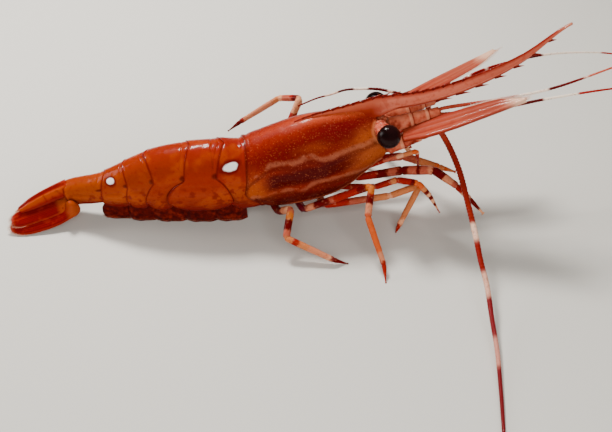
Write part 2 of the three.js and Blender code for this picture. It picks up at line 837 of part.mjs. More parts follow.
// ---- Whips: two from each little stem, and one long one from each big stem ----
const WHIPS = {
  little_whip_upper_right: {
    points: [
      [69.2, -2.6, 6.2], [88.1, -7.6, 7.9], [104.7, -11, 9.7], [124.6, -12.5, 13.2],
      [136, -13.2, 15.6],
    ],
    radii: [0.7, 0.62, 0.5, 0.38, FEELER_TIP],
  },
  little_whip_lower_right: {
    points: [
      [69.2, -3.8, 4.6], [87.1, -11, 7], [101.9, -15, 9.1], [122, -19, 9.9], [134, -20.5, 8.8],
    ],
    radii: [0.7, 0.62, 0.5, 0.38, FEELER_TIP],
  },
  little_whip_upper_left: {
    points: [
      [69.2, 2.2, 6.2], [83.3, 8, 9.1], [103.9, 10.5, 8.7], [116.6, 12, 6.1], [130.7, 13, 1.6],
      [137, 13.6, -1.2],
    ],
    radii: [0.7, 0.62, 0.5, 0.38, FEELER_TIP],
  },
  little_whip_lower_left: {
    points: [
      [69.2, 3.9, 5.4], [72.2, 5.4, 6.6], [70.6, 6.9, 7.4], [66, 6.8, 7.4], [60, 6.2, 8.8],
      [55.6, 6.8, 10.8], [51, 9.8, 11.4], [46, 12, 11.6], [40, 14, 11.5], [35, 15.3, 10.2],
      [30, 16, 9.6], [23, 17, 7.6],
    ],
    radii: [0.6, 0.55, 0.5, 0.38, FEELER_TIP],
  },
};
const LONG_WHIP = { lengths: 3, steps: 9, radii: [1.1, 1.0, 0.85, 0.65, 0.4] };
const LONG_WHIPS = {
  right: [
    inBody(67.6, -8.4, 1.2), V(89.9, -3.1, 30.5), V(93.3, -9.6, 25.5), V(95.8, -18.6, 20),
    V(98.1, -28.8, 14.5), V(99.6, -38, 10.2), V(101, -45.7, 7.4), V(101.7, -57.1, 4.2),
    V(102.2, -68.6, 2.2), V(101.8, -81.4, 1.0), V(101, -94, 0.6), V(100.1, -104.5, 0.6),
    V(98.1, -120.6, 0.5),
  ],
  left: [
    inBody(67.6, 8.4, 1.2), V(84, 17, 27), V(78, 21, 20), V(69, 24, 11), V(58, 28, 4),
    V(44, 30, 1.0), V(25, 28, 0.6), V(5, 23, 0.5), V(-18, 13.5, 0.4),
  ],
};

function longWhipPart(side, part) {
  const { lengths, steps, radii } = LONG_WHIP;
  const cut = 0.0015; // half the gap between two lengths, as a share of the whip
  const from = part === 0 ? 0 : part / lengths + cut;
  const to = part === lengths - 1 ? 1 : (part + 1) / lengths - cut;
  return standOnFloor(sweep(feeler(LONG_WHIPS[side], radii, steps, from, to), 6));
}

const SIDES = { right: -1, left: 1 };
const prawn = new THREE.Group();
prawn.add(head, tail);

place(head, "carapace", withCrest(carapaceSolid()), SHELL_RED);
place(head, "rostrum", rostrumSolid(), ROSTRUM_RED);
place(head, "head_front", headSolid(), FLESH);
place(head, "thorax", thoraxSolid(), FLESH);
for (const [name, side] of Object.entries(SIDES)) {
  place(head, `eye_${name}`, eyeSolid(side), EYE_BLACK);
  place(head, `eyestalk_${name}`, eyestalkSolid(side), FLESH);
  place(head, `antennule_stem_${name}`, littleStem(side), LIMB_BANDED);
  place(head, `antenna_stem_${name}`, bigStem(side), SCALE_PINK);
  place(head, `antennal_scale_${name}`, scaleSolid(name, side), SCALE_PINK);
  for (let part = 0; part < LONG_WHIP.lengths; part++)
    place(prawn, `antenna_whip_${part + 1}_${name}`, longWhipPart(name, part), FEELER_RED);
}
for (const [name, { points, radii }] of Object.entries(WHIPS)) {
  const path = points.map((p) => V(...p));
  const steps = 2 * points.length; // the whip that is bent back has the most points
  place(head, name, sweep(feeler(path, radii, steps), 5), FEELER_RED);
}
for (let n = 1; n <= 6; n++)
  place(prawn, `abdomen_ring_${n}`, abdomenRing(n), n < 3 ? SHELL_RED : SHELL_ORANGE);
place(tail, "telson", telsonSolid(), TAIL_RED);
const onFloor = (made) => standOnFloor(made.transform(tail.matrix.elements));
for (const [name, side] of Object.entries(SIDES)) {
  place(prawn, `tail_blade_inner_${name}`, onFloor(tailBlade(INNER_BLADE, side)), TAIL_RED);
  place(prawn, `tail_blade_outer_${name}`, onFloor(tailBlade(OUTER_BLADE, side)), TAIL_RED);
  for (let n = 1; n <= 5; n++)
    place(prawn, `swimmeret_${n}_${name}`, swimmeret(n, side), FLESH);
}
for (const [name, limb] of Object.entries(LIMBS)) {
  const side = name.endsWith("left") ? 1 : -1;
  place(prawn, name, limbSolid(limb, side), LIMB_BANDED);
}
prawn.position.set(-MIDDLE.x, -MIDDLE.y, 0);

export default prawn;
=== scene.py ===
"""A life-size spot prawn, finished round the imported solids.

Sizes are in millimetres until metres() places them.
"""

import math

import bpy
from mathutils import Matrix, Vector, noise


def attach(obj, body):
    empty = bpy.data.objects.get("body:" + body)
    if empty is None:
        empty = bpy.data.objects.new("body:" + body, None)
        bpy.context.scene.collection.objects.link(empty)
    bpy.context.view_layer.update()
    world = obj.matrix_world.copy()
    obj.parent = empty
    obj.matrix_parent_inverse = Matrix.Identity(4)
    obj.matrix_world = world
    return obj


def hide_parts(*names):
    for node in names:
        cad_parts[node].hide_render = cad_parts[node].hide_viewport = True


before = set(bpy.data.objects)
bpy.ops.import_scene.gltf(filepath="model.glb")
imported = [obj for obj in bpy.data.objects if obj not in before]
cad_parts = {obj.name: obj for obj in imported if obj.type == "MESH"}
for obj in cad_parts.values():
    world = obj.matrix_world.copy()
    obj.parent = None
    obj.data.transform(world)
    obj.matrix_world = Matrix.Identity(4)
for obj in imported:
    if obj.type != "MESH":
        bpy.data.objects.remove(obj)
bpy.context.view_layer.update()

# ---- Studio --------------------------------------------------------------------------------
# A plain pale floor under three lamps: a small key from above and behind the back, a broad
# fill from the camera's side and a rim from the tail. The camera looks down on the right flank.
MM = 0.001  # metres
MIDDLE = Vector((46.85, -39.65, 0.0))  # the model's own drawing point for the frame's origin
CAMERA = {"aim": Vector((42.8, -1.7, -3.5)), "distance": 360.0, "climb": 40.0, "roll": 2.0}
LENS = 59.1  # on a 36 mm wide sensor
NEAREST = 0.01  # metres
FLOOR = {"half": 6.0, "drop": 0.00005, "colour": "cfccc5", "rough": 0.7}  # lengths in metres
ROOM = {"colour": "e5e1da", "strength": 0.22}
LAMPS = {
    "key": {"at": Vector((-90, 240, 400)), "size": 90, "watts": 3.9, "colour": (1.0, 0.97, 0.92)},
    "fill": {"at": Vector((120, -420, 260)), "size": 420, "watts": 2.6, "colour": (1.0, 0.98, 0.95)},
    "rim": {"at": Vector((-330, 60, 160)), "size": 180, "watts": 0.9, "colour": (1.0, 0.98, 0.95)},
}


def metres(point):
    return (point - MIDDLE) * MM


def facing(at, aim):
    return (aim - at).to_track_quat("-Z", "Y")


def hue(code):
    """A linear colour from a paint code such as b5371c."""
    parts = [int(code[i : i + 2], 16) / 255 for i in (0, 2, 4)]
    linear = [c / 12.92 if c <= 0.04045 else ((c + 0.055) / 1.055) ** 2.4 for c in parts]
    return (*linear, 1.0)


def add_to_scene(obj):
    bpy.context.scene.collection.objects.link(obj)
    return obj


floor_mesh = bpy.data.meshes.new("floor")
half = FLOOR["half"]
floor_mesh.from_pydata(
    [(-half, -half, 0), (half, -half, 0), (half, half, 0), (-half, half, 0)], [], [(0, 1, 2, 3)]
)
floor = add_to_scene(bpy.data.objects.new("floor", floor_mesh))
floor.location.z = -FLOOR["drop"]
floor_paint = bpy.data.materials.new("floor_paint")
floor_paint.use_nodes = True
floor_shader = floor_paint.node_tree.nodes["Principled BSDF"]
floor_shader.inputs["Base Color"].default_value = hue(FLOOR["colour"])
floor_shader.inputs["Roughness"].default_value = FLOOR["rough"]
floor_mesh.materials.append(floor_paint)

world = bpy.data.worlds.new("room")
world.use_nodes = True
air = world.node_tree.nodes["Background"]
air.inputs["Color"].default_value = hue(ROOM["colour"])
air.inputs["Strength"].default_value = ROOM["strength"]
bpy.context.scene.world = world

for name, lamp in LAMPS.items():
    light = bpy.data.lights.new(name, "AREA")
    light.size = lamp["size"] * MM
    light.energy = lamp["watts"]
    light.color = lamp["colour"]
    holder = add_to_scene(bpy.data.objects.new(name, light))
    holder.location = metres(lamp["at"])
    holder.rotation_mode = "QUATERNION"
    holder.rotation_quaternion = facing(lamp["at"], CAMERA["aim"])
    holder.visible_glossy = name != "fill"  # so broad a lamp would show as a block in the gloss

climb = math.radians(CAMERA["climb"])
roll = math.radians(CAMERA["roll"])
back = Vector((0, -math.cos(climb), math.sin(climb)))
sight_up = back.cross(Vector((1, 0, 0)))
right = math.cos(roll) * Vector((1, 0, 0)) + math.sin(roll) * sight_up
upward = math.cos(roll) * sight_up - math.sin(roll) * Vector((1, 0, 0))
camera = add_to_scene(bpy.data.objects.new("camera", bpy.data.cameras.new("camera")))
camera.data.lens = LENS
camera.data.clip_start = NEAREST
camera.matrix_world = Matrix.Translation(metres(CAMERA["aim"] + CAMERA["distance"] * back)) @ (
    Matrix((right, upward, back)).transposed().to_4x4()
)
bpy.context.scene.camera = camera

# ---- Carapace ------------------------------------------------------------------------------
# One thin, glossy shell over the head and thorax, open below. It is an arch over the back
# with a side plate hanging on each side, red-orange with two pale stripes on each flank.
NECK = Vector((21.2, -3.3, 18.6))  # middle of the hind margin
HEAD = (
    Matrix.Translation(NECK)
    @ Matrix.Rotation(math.radians(10.5), 4, "Z")
    @ Matrix.Rotation(math.radians(-12), 4, "Y")
)
CARAPACE_LENGTH = 48.0
CARAPACE_WIDTH = [10.4, 11.2, 11.6, 11.5, 10.6, 9.2, 7.8]
CARAPACE_HEIGHT = [11.2, 12.0, 13.2, 13.7, 13.0, 12.0, 11.2]
CARAPACE_DEPTH = [10.2, 12.2, 13.0, 13.0, 11.8, 8.2, 4.6]
ARCH_SHARE = 0.625  # share of the way down a side where the arch becomes the side plate
SHELL = 1.0  # thickness
UNDERSIDE = 0.35  # how far down the side plates the belly skin closes the shell, as a share
RIGHT, LEFT = -1, 1
SIDES = {"right": RIGHT, "left": LEFT}


def lerp(a, b, t):
    return a + (b - a) * t


def smooth(t):
    t = min(max(t, 0.0), 1.0)
    return t * t * (3 - 2 * t)


def hump(x, middle, width):
    return math.exp(-(((x - middle) / width) ** 2))


def glide(b, c, rise, fall, f):
    """The place f of the way from b to c on a curve that leaves at rise and arrives at fall."""
    return b + f * (rise + f * (3 * (c - b) - 2 * rise - fall + f * (2 * (b - c) + rise + fall)))


def along(knots, t):
    """A value read smoothly from evenly spaced knots, at t from 0 to 1."""
    last = len(knots) - 1
    u = min(max(t, 0.0), 1.0) * last
    i = min(int(u), last - 1)
    a, b, c, d = knots[max(i - 1, 0)], knots[i], knots[i + 1], knots[min(i + 2, last)]
    return glide(b, c, (c - a) / 2, (d - b) / 2, u - i)


def side_point(v, wide, high, deep):
    """Across and up, v of the way from the ridge to the side plate's edge."""
    if v < ARCH_SHARE:
        angle = math.pi / 2 * (1 - v / ARCH_SHARE)
        return wide * math.cos(angle), high * math.sin(angle)
    q = (v - ARCH_SHARE) / (1 - ARCH_SHARE)
    return wide * (1 - 0.16 * q * q), -deep * q


def wander(point, size):
    """Slow, smooth unevenness between -1 and 1."""
    return noise.noise(point / size)


def new_piece(name, mesh, material, slot, *nodes):
    """A finished piece: it rides with the body, and stands for the named solids."""
    piece = add_to_scene(bpy.data.objects.new(name, mesh))
    mesh.materials.clear()
    mesh.materials.append(material)
    mesh.shade_smooth()
    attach(piece, "root")
    if nodes:
        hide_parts(*nodes)
    return piece


def even_shares(count):
    """Shares from 0 to 1, one more than the count of steps between them."""
    return [k / count for k in range(count + 1)]


def skin(name, rings, lengthwise, crosswise):
    """A closed skin over rings of points. Its UV map "shell" holds the share along and across."""
    count = len(rings[0])
    points = [metres(p) for ring in rings for p in ring]
    faces, corners = [], []
    for r in range(len(rings) - 1):
        for i in range(count):
            j = (i + 1) % count
            faces.append((r * count + i, r * count + j, (r + 1) * count + j, (r + 1) * count + i))
            near, far = crosswise[i], crosswise[i + 1]
            here, there = lengthwise[r], lengthwise[r + 1]
            corners += [(here, near), (here, far), (there, far), (there, near)]
    for r, order in ((0, -1), (len(rings) - 1, 1)):
        middle = len(points)
        points.append(sum((metres(p) for p in rings[r]), Vector()) / count)
        for i in range(count):
            edge = (r * count + i, r * count + (i + 1) % count, middle)
            faces.append(edge[::order])
            shares = [(lengthwise[r], crosswise[k]) for k in (i, i + 1, i)]
            corners += shares[::order]
    mesh = bpy.data.meshes.new(name)
    mesh.from_pydata(points, [], faces)
    shell = mesh.uv_layers.new(name="shell")
    for corner, share in zip(shell.data, corners):
        corner.uv = share
    if signed_volume(mesh) < 0:
        mesh.flip_normals()
    mesh.validate()
    return mesh


def signed_volume(mesh):
    total = 0.0
    points = [v.co for v in mesh.vertices]
    for face in mesh.polygons:
        a, *rest = (points[i] for i in face.vertices)
        for b, c in zip(rest, rest[1:]):
            total += a.dot(b.cross(c))
    return total


def wire(tree, kind, inputs=None, **settings):
    """A new node in a tree, with its settings, and its inputs linked or set."""
    node = tree.nodes.new(kind)
    for key, value in settings.items():
        setattr(node, key, value)
    for key, value in (inputs or {}).items():
        if isinstance(value, bpy.types.NodeSocket):
            tree.links.new(value, node.inputs[key])
        else:
            node.inputs[key].default_value = value
    return node


def maths(tree, how, *values):
    return wire(tree, "ShaderNodeMath", dict(enumerate(values)), operation=how).outputs[0]


WET = 1.2  # a wet surface deepens its colours by this power, the pale ones least
BLUSH = (1.0, 0.25, 0.1)  # how far red, green and blue light spread under the surface
BLUSH_DEPTH = 0.0025  # metres


class Paint:
    """One finish, built node by node: where to paint, masks, colours, and then the gloss."""

    def __init__(self, name):
        self.material = bpy.data.materials.new(name)
        self.material.use_nodes = True
        self.tree = self.material.node_tree
        self.shader = self.tree.nodes["Principled BSDF"]
        self.place = self.add("ShaderNodeTexCoord").outputs["Object"]
        shares = self.add("ShaderNodeUVMap", uv_map="shell").outputs[0]
        self.along, self.across, _ = self.add("ShaderNodeSeparateXYZ", {0: shares}).outputs

    def add(self, kind, inputs=None, **settings):
        return wire(self.tree, kind, inputs, **settings)

    def plus(self, a, b):
        return maths(self.tree, "ADD", a, b)

    def minus(self, a, b):
        return maths(self.tree, "SUBTRACT", a, b)

    def times(self, a, b):
        return maths(self.tree, "MULTIPLY", a, b)

    def away(self, x, middle):
        """How far x lies from the middle, on either side."""
        return maths(self.tree, "ABSOLUTE", self.minus(x, middle))

    def ripples(self, x, rate):
        return maths(self.tree, "SINE", self.times(x, rate))

    def noise(self, size, detail=3.0):
        """Cloudy noise of about that size in millimetres, near 0.5."""
        inputs = {"Vector": self.place, "Scale": 1000.0 / size, "Detail": detail}
        return self.add("ShaderNodeTexNoise", inputs).outputs["Fac"]

    def shaken(self, x, amount, size):
        """x, made uneven by a share of the noise."""
        return maths(self.tree, "MULTIPLY_ADD", self.minus(self.noise(size), 0.5), amount, x)

    def step(self, x, start, end):
        """0 before start and 1 past end; start may lie above end."""
        inputs = {"Value": x, "From Min": start, "From Max": end}
        node = self.add("ShaderNodeMapRange", inputs, interpolation_type="SMOOTHSTEP")
        return node.outputs[0]

    def band(self, x, middle, width, soft):
        """1 within half a width of the middle, faded over soft."""
        return self.step(self.away(x, middle), width / 2 + soft, width / 2)

    def curve(self, x, points):
        """A height read from a smooth curve through points, over x from 0 to 1."""
        node = self.add("ShaderNodeFloatCurve", {"Value": x})
        line = node.mapping.curves[0]
        for spare, point in zip(line.points, (points[0], points[-1])):
            spare.location = point
        for point in points[1:-1]:
            line.points.new(*point)
        node.mapping.update()
        return node.outputs[0]

    def ramp(self, x, stops):
        node = self.add("ShaderNodeValToRGB", {"Fac": x})
        stops = sorted(stops.items())
        marks = node.color_ramp.elements
        while len(marks) < len(stops):
            marks.new(0.5)
        for mark, (place, _) in zip(marks, stops):
            mark.position = place
        for mark, (_, code) in zip(marks, stops):
            mark.color = hue(code)
        return node.outputs[0]

    def tint(self, under, over, mask, strength=None):
        """Lays one colour over another where the mask is 1, thinned to a strength."""
        if strength is not None:
            mask = self.times(mask, strength)
        under, over = (hue(c) if isinstance(c, str) else c for c in (under, over))
        return self.add("ShaderNodeMix", {0: mask, 6: under, 7: over}, data_type="RGBA").outputs[2]

    def spot(self, middle, reach, soft=0.15, slant=0.0):
        """1 inside an oval round the middle, in shares along and across."""
        over = self.times(self.minus(self.along, middle[0]), 1 / reach[0])
        down = self.times(self.minus(self.across, middle[1]), 1 / reach[1])
        over, down = self.shaken(over, 0.7, 2.2), self.shaken(down, 0.7, 3.1)
        over = self.plus(over, self.times(down, slant))
        away = self.plus(self.times(over, over), self.times(down, down))
        return self.step(maths(self.tree, "POWER", away, 0.5), 1 + soft, 1 - soft)

    def finish(self, colour, rough=(0.26, 0.42), grain=0.5, depth=0.02, coat=0.5, sheer=0.12):
        """Links the colour and gives the wet gloss, fine relief and slight translucency."""
        inputs = self.shader.inputs
        wet = self.add("ShaderNodeGamma", {"Color": colour, "Gamma": WET})
        self.tree.links.new(wet.outputs[0], inputs["Base Color"])
        patches = {"Value": self.noise(3.0), "From Min": 0.35, "From Max": 0.65}
        patches.update({"To Min": rough[0], "To Max": rough[1]})
        patchy = self.add("ShaderNodeMapRange", patches)
        self.tree.links.new(patchy.outputs[0], inputs["Roughness"])
        grains = {"Height": self.noise(grain, 4.0), "Distance": depth * MM, "Strength": 1.0}
        relief = self.add("ShaderNodeBump", grains)
        self.tree.links.new(relief.outputs[0], inputs["Normal"])
        inputs["Coat Weight"].default_value = coat * 0.2
        inputs["Specular IOR Level"].default_value = 0.03
        inputs["Coat Roughness"].default_value = 0.07
        inputs["Subsurface Weight"].default_value = sheer * 0.5
        inputs["Subsurface Radius"].default_value = BLUSH
        inputs["Subsurface Scale"].default_value = BLUSH_DEPTH
        return self.material


def carapace_hind(v):
    return along([2.2, 1.7, 0.8, -0.3, -1.4, 2.4], v)


def carapace_front(v):
    """The front margin, notched round the eye, with two small spines below it."""
    margin = CARAPACE_LENGTH - along([0.4, 0.9, 2.6, 0.6, 0, 1.6], v)
    return margin + 1.5 * hump(v, 0.585, 0.022) + 1.2 * hump(v, 0.8, 0.024)


def carapace_relief(u, v, point):
    """How far the shell stands out from its plain form: rims, faint grooves and slow waves."""
    rim = 0.16 * hump(u, 0.004, 0.012) - 0.22 * hump(u, 0.035, 0.012)
    rim += 0.14 * hump(u, 0.995, 0.01) - 0.12 * hump(u, 0.97, 0.012)
    rim += 0.2 * hump(v, 0.985, 0.012) - 0.16 * hump(v, 0.95, 0.015)
    groove_line = 0.62 + 0.22 * smooth((v - 0.1) / 0.5)
    groove = -0.08 * hump(u, groove_line, 0.02) * smooth((v - 0.1) / 0.1) * smooth((0.66 - v) / 0.08)
    gill = 0.25 * hump(v, 0.7, 0.14) * hump(u, 0.45, 0.3)
    ridge = 1.3 * smooth((u - 0.3) / 0.65) * hump(v, 0.0, 0.11)
    return rim + groove + gill + ridge + 0.09 * wander(point, 7.0) + 0.04 * wander(point, 2.2)


def carapace_point(u, v, side, inset):
    x = lerp(carapace_hind(v), carapace_front(v), u)
    t = x / CARAPACE_LENGTH
    sizes = [along(k, t) for k in (CARAPACE_WIDTH, CARAPACE_HEIGHT, CARAPACE_DEPTH)]
    y, z = side_point(v, *sizes)
    out = Vector((y / sizes[0], z / sizes[1] if z > 0 else 0.0)).normalized()
    push = carapace_relief(u, v, Vector((x, side * y, z))) - inset
    if v > ARCH_SHARE:
        out = Vector((1.0, 0.0))
    return HEAD @ Vector((x, side * (y + out.x * push), z + out.y * push))


OUTER = [0.0, 0.01, 0.02, 0.03, 0.045, 0.06, 0.08, 0.1]
OUTER += [0.1 + 0.9 * k / 58 for k in range(1, 59)]
INNER = [0.99, 0.95, 0.9, 0.85, 0.8, 0.76]  # back up the inside of the side plate


def shell_ring(point, belly, wall=SHELL):
    """Points round one section: down the right side, under the belly and up the left."""
    half_ring = [(v, 0.0) for v in OUTER] + [(v, wall) for v in INNER]
    ring = [point(v, RIGHT, inset) for v, inset in half_ring]
    ring += [belly]
    ring += [point(v, LEFT, inset) for v, inset in reversed(half_ring[1:])]
    return ring


def shell_shares():
    """The share down the flank for each point of such a ring; past 1 on the inside."""
    half_ring = OUTER + [1.1] * len(INNER)
    return half_ring + [1.1] + half_ring[:0:-1] + [0.0]


def carapace_mesh():
    steps = 150
    edge = 0.012
    stations = [0.0, edge / 3, edge] + [lerp(edge, 1 - edge, k / steps) for k in range(1, steps)]
    stations += [1 - edge, 1 - edge / 3, 1.0]
    rings = []
    for u in stations:
        x = CARAPACE_LENGTH * u
        deep = along(CARAPACE_DEPTH, u)
        belly = HEAD @ Vector((x, 0, -deep * UNDERSIDE - 0.4))
        rings.append(shell_ring(lambda v, side, inset: carapace_point(u, v, side, inset), belly))
    return skin("carapace_shell", rings, stations, shell_shares())


UPPER_STRIPE = [(0, 0.62), (0.07, 0.515), (0.18, 0.43), (0.34, 0.465), (0.5, 0.46)]
UPPER_STRIPE += [(0.58, 0.515), (0.72, 0.5), (0.88, 0.49), (1, 0.48)]
LOWER_STRIPE = [(0, 0.86), (0.12, 0.81), (0.26, 0.77), (0.38, 0.81), (0.47, 0.755)]
LOWER_STRIPE += [(0.6, 0.78), (0.72, 0.83), (0.84, 0.91), (1, 0.99)]
CARAPACE_SHADES = {0.0: "a63e24", 0.08: "963018", 0.22: "862410", 0.36: "7c1c0d", 0.5: "84240e"}
CARAPACE_SHADES.update({0.62: "8a2310", 0.74: "8c2812", 0.9: "7c1c0e", 1.0: "5e150c"})


def carapace_paint():
    """Stripes and patches lie along the shell: curves give their height down the flank."""
    p = Paint("carapace_paint")
    u = p.shaken(p.along, 0.05, 5.0)
    v = p.shaken(p.shaken(p.across, 0.05, 4.0), 0.02, 1.2)
    coat = p.ramp(v, CARAPACE_SHADES)
    for middle, reach, shade, strength in CARAPACE_PATCHES:
        coat = p.tint(coat, shade, p.spot(middle, reach, 0.7), strength)
    between = p.times(p.step(v, 0.5, 0.6), p.step(v, 0.78, 0.69))
    between = p.times(between, p.times(p.step(u, 0.08, 0.2), p.step(u, 0.9, 0.6)))
    coat = p.tint(coat, "520404", between, 0.94)
    below = p.times(p.step(v, 0.83, 0.9), p.step(u, 0.7, 0.45))
    coat = p.tint(coat, "5c110b", below, 0.85)
    broken = p.step(p.noise(6.0, 3.0), 0.3, 0.5)
    for points, strength, wide in ((UPPER_STRIPE, 0.6, 0.008), (LOWER_STRIPE, 0.56, 0.005)):
        middle = p.curve(p.along, points)
        stripe = p.times(p.band(v, middle, wide, 0.045), broken)
        shade = p.band(v, p.plus(middle, 0.05), 0.02, 0.04)
        coat = p.tint(coat, "520c0a", shade, 0.45)
        coat = p.tint(coat, "a86a50", stripe, strength)
    carina = p.times(p.step(p.across, 0.18, 0.02), p.step(p.along, 0.25, 0.6))
    coat = p.tint(coat, "c8603c", carina, 0.7)
    rim = p.times(p.step(p.along, 0.965, 0.99), p.band(p.across, 0.42, 0.3, 0.06))
    coat = p.tint(coat, "cd8258", rim, 0.7)
    coat = p.tint(coat, "5e100b", p.step(p.along, 0.025, 0.005), 0.6)
    # Pale specks painted all over the shell as the small glints of a wet surface: painted highlights.
    glint_specks = p.step(p.noise(0.5, 1.0), 0.6, 0.72)
    coat = p.tint(coat, "d8845a", glint_specks, 0.25)
    dark_freckles = p.step(p.noise(0.8, 2.0), 0.42, 0.33)
    coat = p.tint(coat, "5a100a", dark_freckles, 0.35)
    coat = p.tint(coat, "96482e", p.step(p.across, 1.03, 1.08))
    lower_rim = p.times(p.band(p.across, 0.985, 0.006, 0.012), p.step(p.along, 0.1, 0.3))
    coat = p.tint(coat, "b4674a", lower_rim, 0.7)
    return p.finish(coat, rough=(0.24, 0.4), grain=0.35, depth=0.03, coat=0.4, sheer=0.1)


CARAPACE_PATCHES = [
    ((0.95, 0.66), (0.22, 0.26), "a85a2a", 0.8),
    ((0.93, 0.36), (0.09, 0.12), "b05a2c", 0.7),
    ((0.0, 0.74), (0.15, 0.26), "ae561f", 0.85),
    ((0.5, 0.38), (0.13, 0.06), "a0481c", 0.7),
    ((0.06, 0.3), (0.14, 0.3), "8f2410", 0.5),
    ((0.26, 0.33), (0.2, 0.1), "741610", 0.6),
    ((0.72, 0.22), (0.24, 0.12), "761a1c", 0.95),
    ((0.42, 0.42), (0.14, 0.04), "741610", 0.6),
]
new_piece("carapace_shell", carapace_mesh(), carapace_paint(), "shell_red", "carapace")

# ---- Rostrum -------------------------------------------------------------------------------
# A long, thin saw-edged blade of shell that grows out of the carapace's crest and sweeps up
# in front of the eyes. Its root is sunk in the carapace, and its teeth are set along both edges.
ROSTRUM_LENGTH = 68.0
ROSTRUM_RISE = [12.4, 10.6, 12.0, 16.6, 25.2]
ROSTRUM_DEPTH = [6.4, 5.6, 5.0, 3.4, 0.7]
ROSTRUM_WIDTH = [5.2, 2.6, 2.0, 1.6, 0.7]
CREST_START = 20.0
CREST_HEIGHT = 4.2


def rostrum_at(x):
    """Middle height, depth and width of the blade, x along the head."""
    if x >= CARAPACE_LENGTH:
        t = (x - CARAPACE_LENGTH) / ROSTRUM_LENGTH
        return tuple(along(knots, t) for knots in (ROSTRUM_RISE, ROSTRUM_DEPTH, ROSTRUM_WIDTH))
    share = (x - CREST_START) / (CARAPACE_LENGTH - CREST_START)
    top = along(CARAPACE_HEIGHT, x / CARAPACE_LENGTH) + 0.3 + CREST_HEIGHT * share
    deep = lerp(1.6, ROSTRUM_DEPTH[0], share)
    return top - deep / 2 - 0.1 * (1 - share), deep, lerp(0.9, ROSTRUM_WIDTH[0], share**1.6)


def round_loop(corners, between=4):
    """A smooth closed loop through corners given as (across, up)."""
    loop = []
    count = len(corners)
    for i in range(count):
        a, b, c, d = (Vector(corners[(i + k) % count]) for k in (-1, 0, 1, 2))
        loop += [glide(b, c, (c - a) / 2, (d - b) / 2, k / between) for k in range(between)]
    return loop


def rostrum_mesh():
    rings = []
    steps = 150
    for t in even_shares(steps):
        x = lerp(CREST_START, CARAPACE_LENGTH + ROSTRUM_LENGTH, t)
        z, deep, wide = rostrum_at(x)
        half_deep = deep / 2
        edge = min(0.4, wide / 2)
        flare = smooth((57 - x) / 10)
        corners = [
            (0, half_deep),
            (edge * 1.3, half_deep * 0.72),
            (lerp(edge * 1.4, wide * 0.3, flare), half_deep * 0.25),
            (wide / 2, -half_deep * 0.2),
            (lerp(edge * 1.3, wide * 0.68, flare), -half_deep * 0.5),
            (lerp(edge * 0.9, wide * 0.7, flare), -half_deep * 0.8),
            (0, -half_deep),
        ]
        corners += [(-y, up) for y, up in corners[-2:0:-1]]
        rings.append([HEAD @ Vector((x, y, z + up)) for y, up in round_loop(corners)])
    return skin("rostrum_blade", rings, even_shares(steps), even_shares(len(rings[0])))


ROSTRUM_SHADES = {0.0: "6a120e", 0.045: "801c16", 0.075: "b45844", 0.14: "d48068", 0.24: "d07860"}
ROSTRUM_SHADES.update({0.3: "e0947c", 0.37: "c46a52", 0.41: "8a3020", 0.45: "bc6650", 0.5: "8a2a1c"})
ROOT_SHADES = {0.0: "6a140e", 0.05: "8a2416", 0.09: "c0664c", 0.15: "b85c42", 0.22: "9c3a24"}
ROOT_SHADES.update({0.32: "8a240f"})


def rostrum_paint():
    """A dark upper edge over a salmon side; the root takes on the carapace's own colours."""
    p = Paint("rostrum_paint")
    down = p.shaken(p.away(p.across, 0.5), 0.04, 3.0)
    share = p.minus(0.5, down)
    coat = p.ramp(share, ROSTRUM_SHADES)
    streaks = p.step(p.noise(1.6, 4.0), 0.5, 0.66)
    coat = p.tint(coat, "b04a34", streaks, 0.4)
    coat = p.tint(coat, p.ramp(share, ROOT_SHADES), p.step(p.along, 0.36, 0.26))
    coat = p.tint(coat, "9c3826", p.step(p.along, 0.5, 0.8), 0.4)
    coat = p.tint(coat, "d0987e", p.step(p.along, 0.93, 1.0), 0.6)
    return p.finish(coat, depth=0.02)


def new_tree(name, inputs):
    """A Geometry Nodes tree with a Geometry input and output and the named inputs."""
    tree = bpy.data.node_groups.new(name, "GeometryNodeTree")
    tree.interface.new_socket("Geometry", in_out="INPUT", socket_type="NodeSocketGeometry")
    tree.interface.new_socket("Geometry", in_out="OUTPUT", socket_type="NodeSocketGeometry")
    for label, kind in inputs.items():
        tree.interface.new_socket(label, in_out="INPUT", socket_type=f"NodeSocket{kind}")
    return tree


def stored(tree, geometry, name, value, kind="FLOAT", domain="POINT"):
    """The geometry with a value kept on it as a named attribute."""
    inputs = {"Geometry": geometry, "Name": name, "Value": value}
    keep = wire(tree, "GeometryNodeStoreNamedAttribute", inputs, data_type=kind, domain=domain)
    return keep.outputs[0]


def named(tree, name, kind="FLOAT"):
    return wire(tree, "GeometryNodeInputNamedAttribute", {"Name": name}, data_type=kind).outputs[0]


def vectors(tree, how, inputs):
    return wire(tree, "ShaderNodeVectorMath", inputs, operation=how).outputs


def finished(tree, geometry, material):
    """Ends a tree with its geometry in its material."""
    painted = wire(tree, "GeometryNodeSetMaterial", {"Geometry": geometry, "Material": material})
    tree.links.new(painted.outputs[0], tree.nodes.new("NodeGroupOutput").inputs[0])
    return tree


# Thickness is in metres, Shake a share of the length, and Row the row in the bake's map.
SPIKE_INPUTS = {"Count": "Int", "Thickness": "Float", "Shake": "Float", "Seed": "Int"}
SPIKE_INPUTS.update({"Row": "Float", "Material": "Material"})
CONE = {"Vertices": 6, "Side Segments": 3, "Radius Top": 0.08, "Radius Bottom": 1.0, "Depth": 1.0}
BAKE_PATCH = 0.003  # side of each spike's own patch in the bake's map


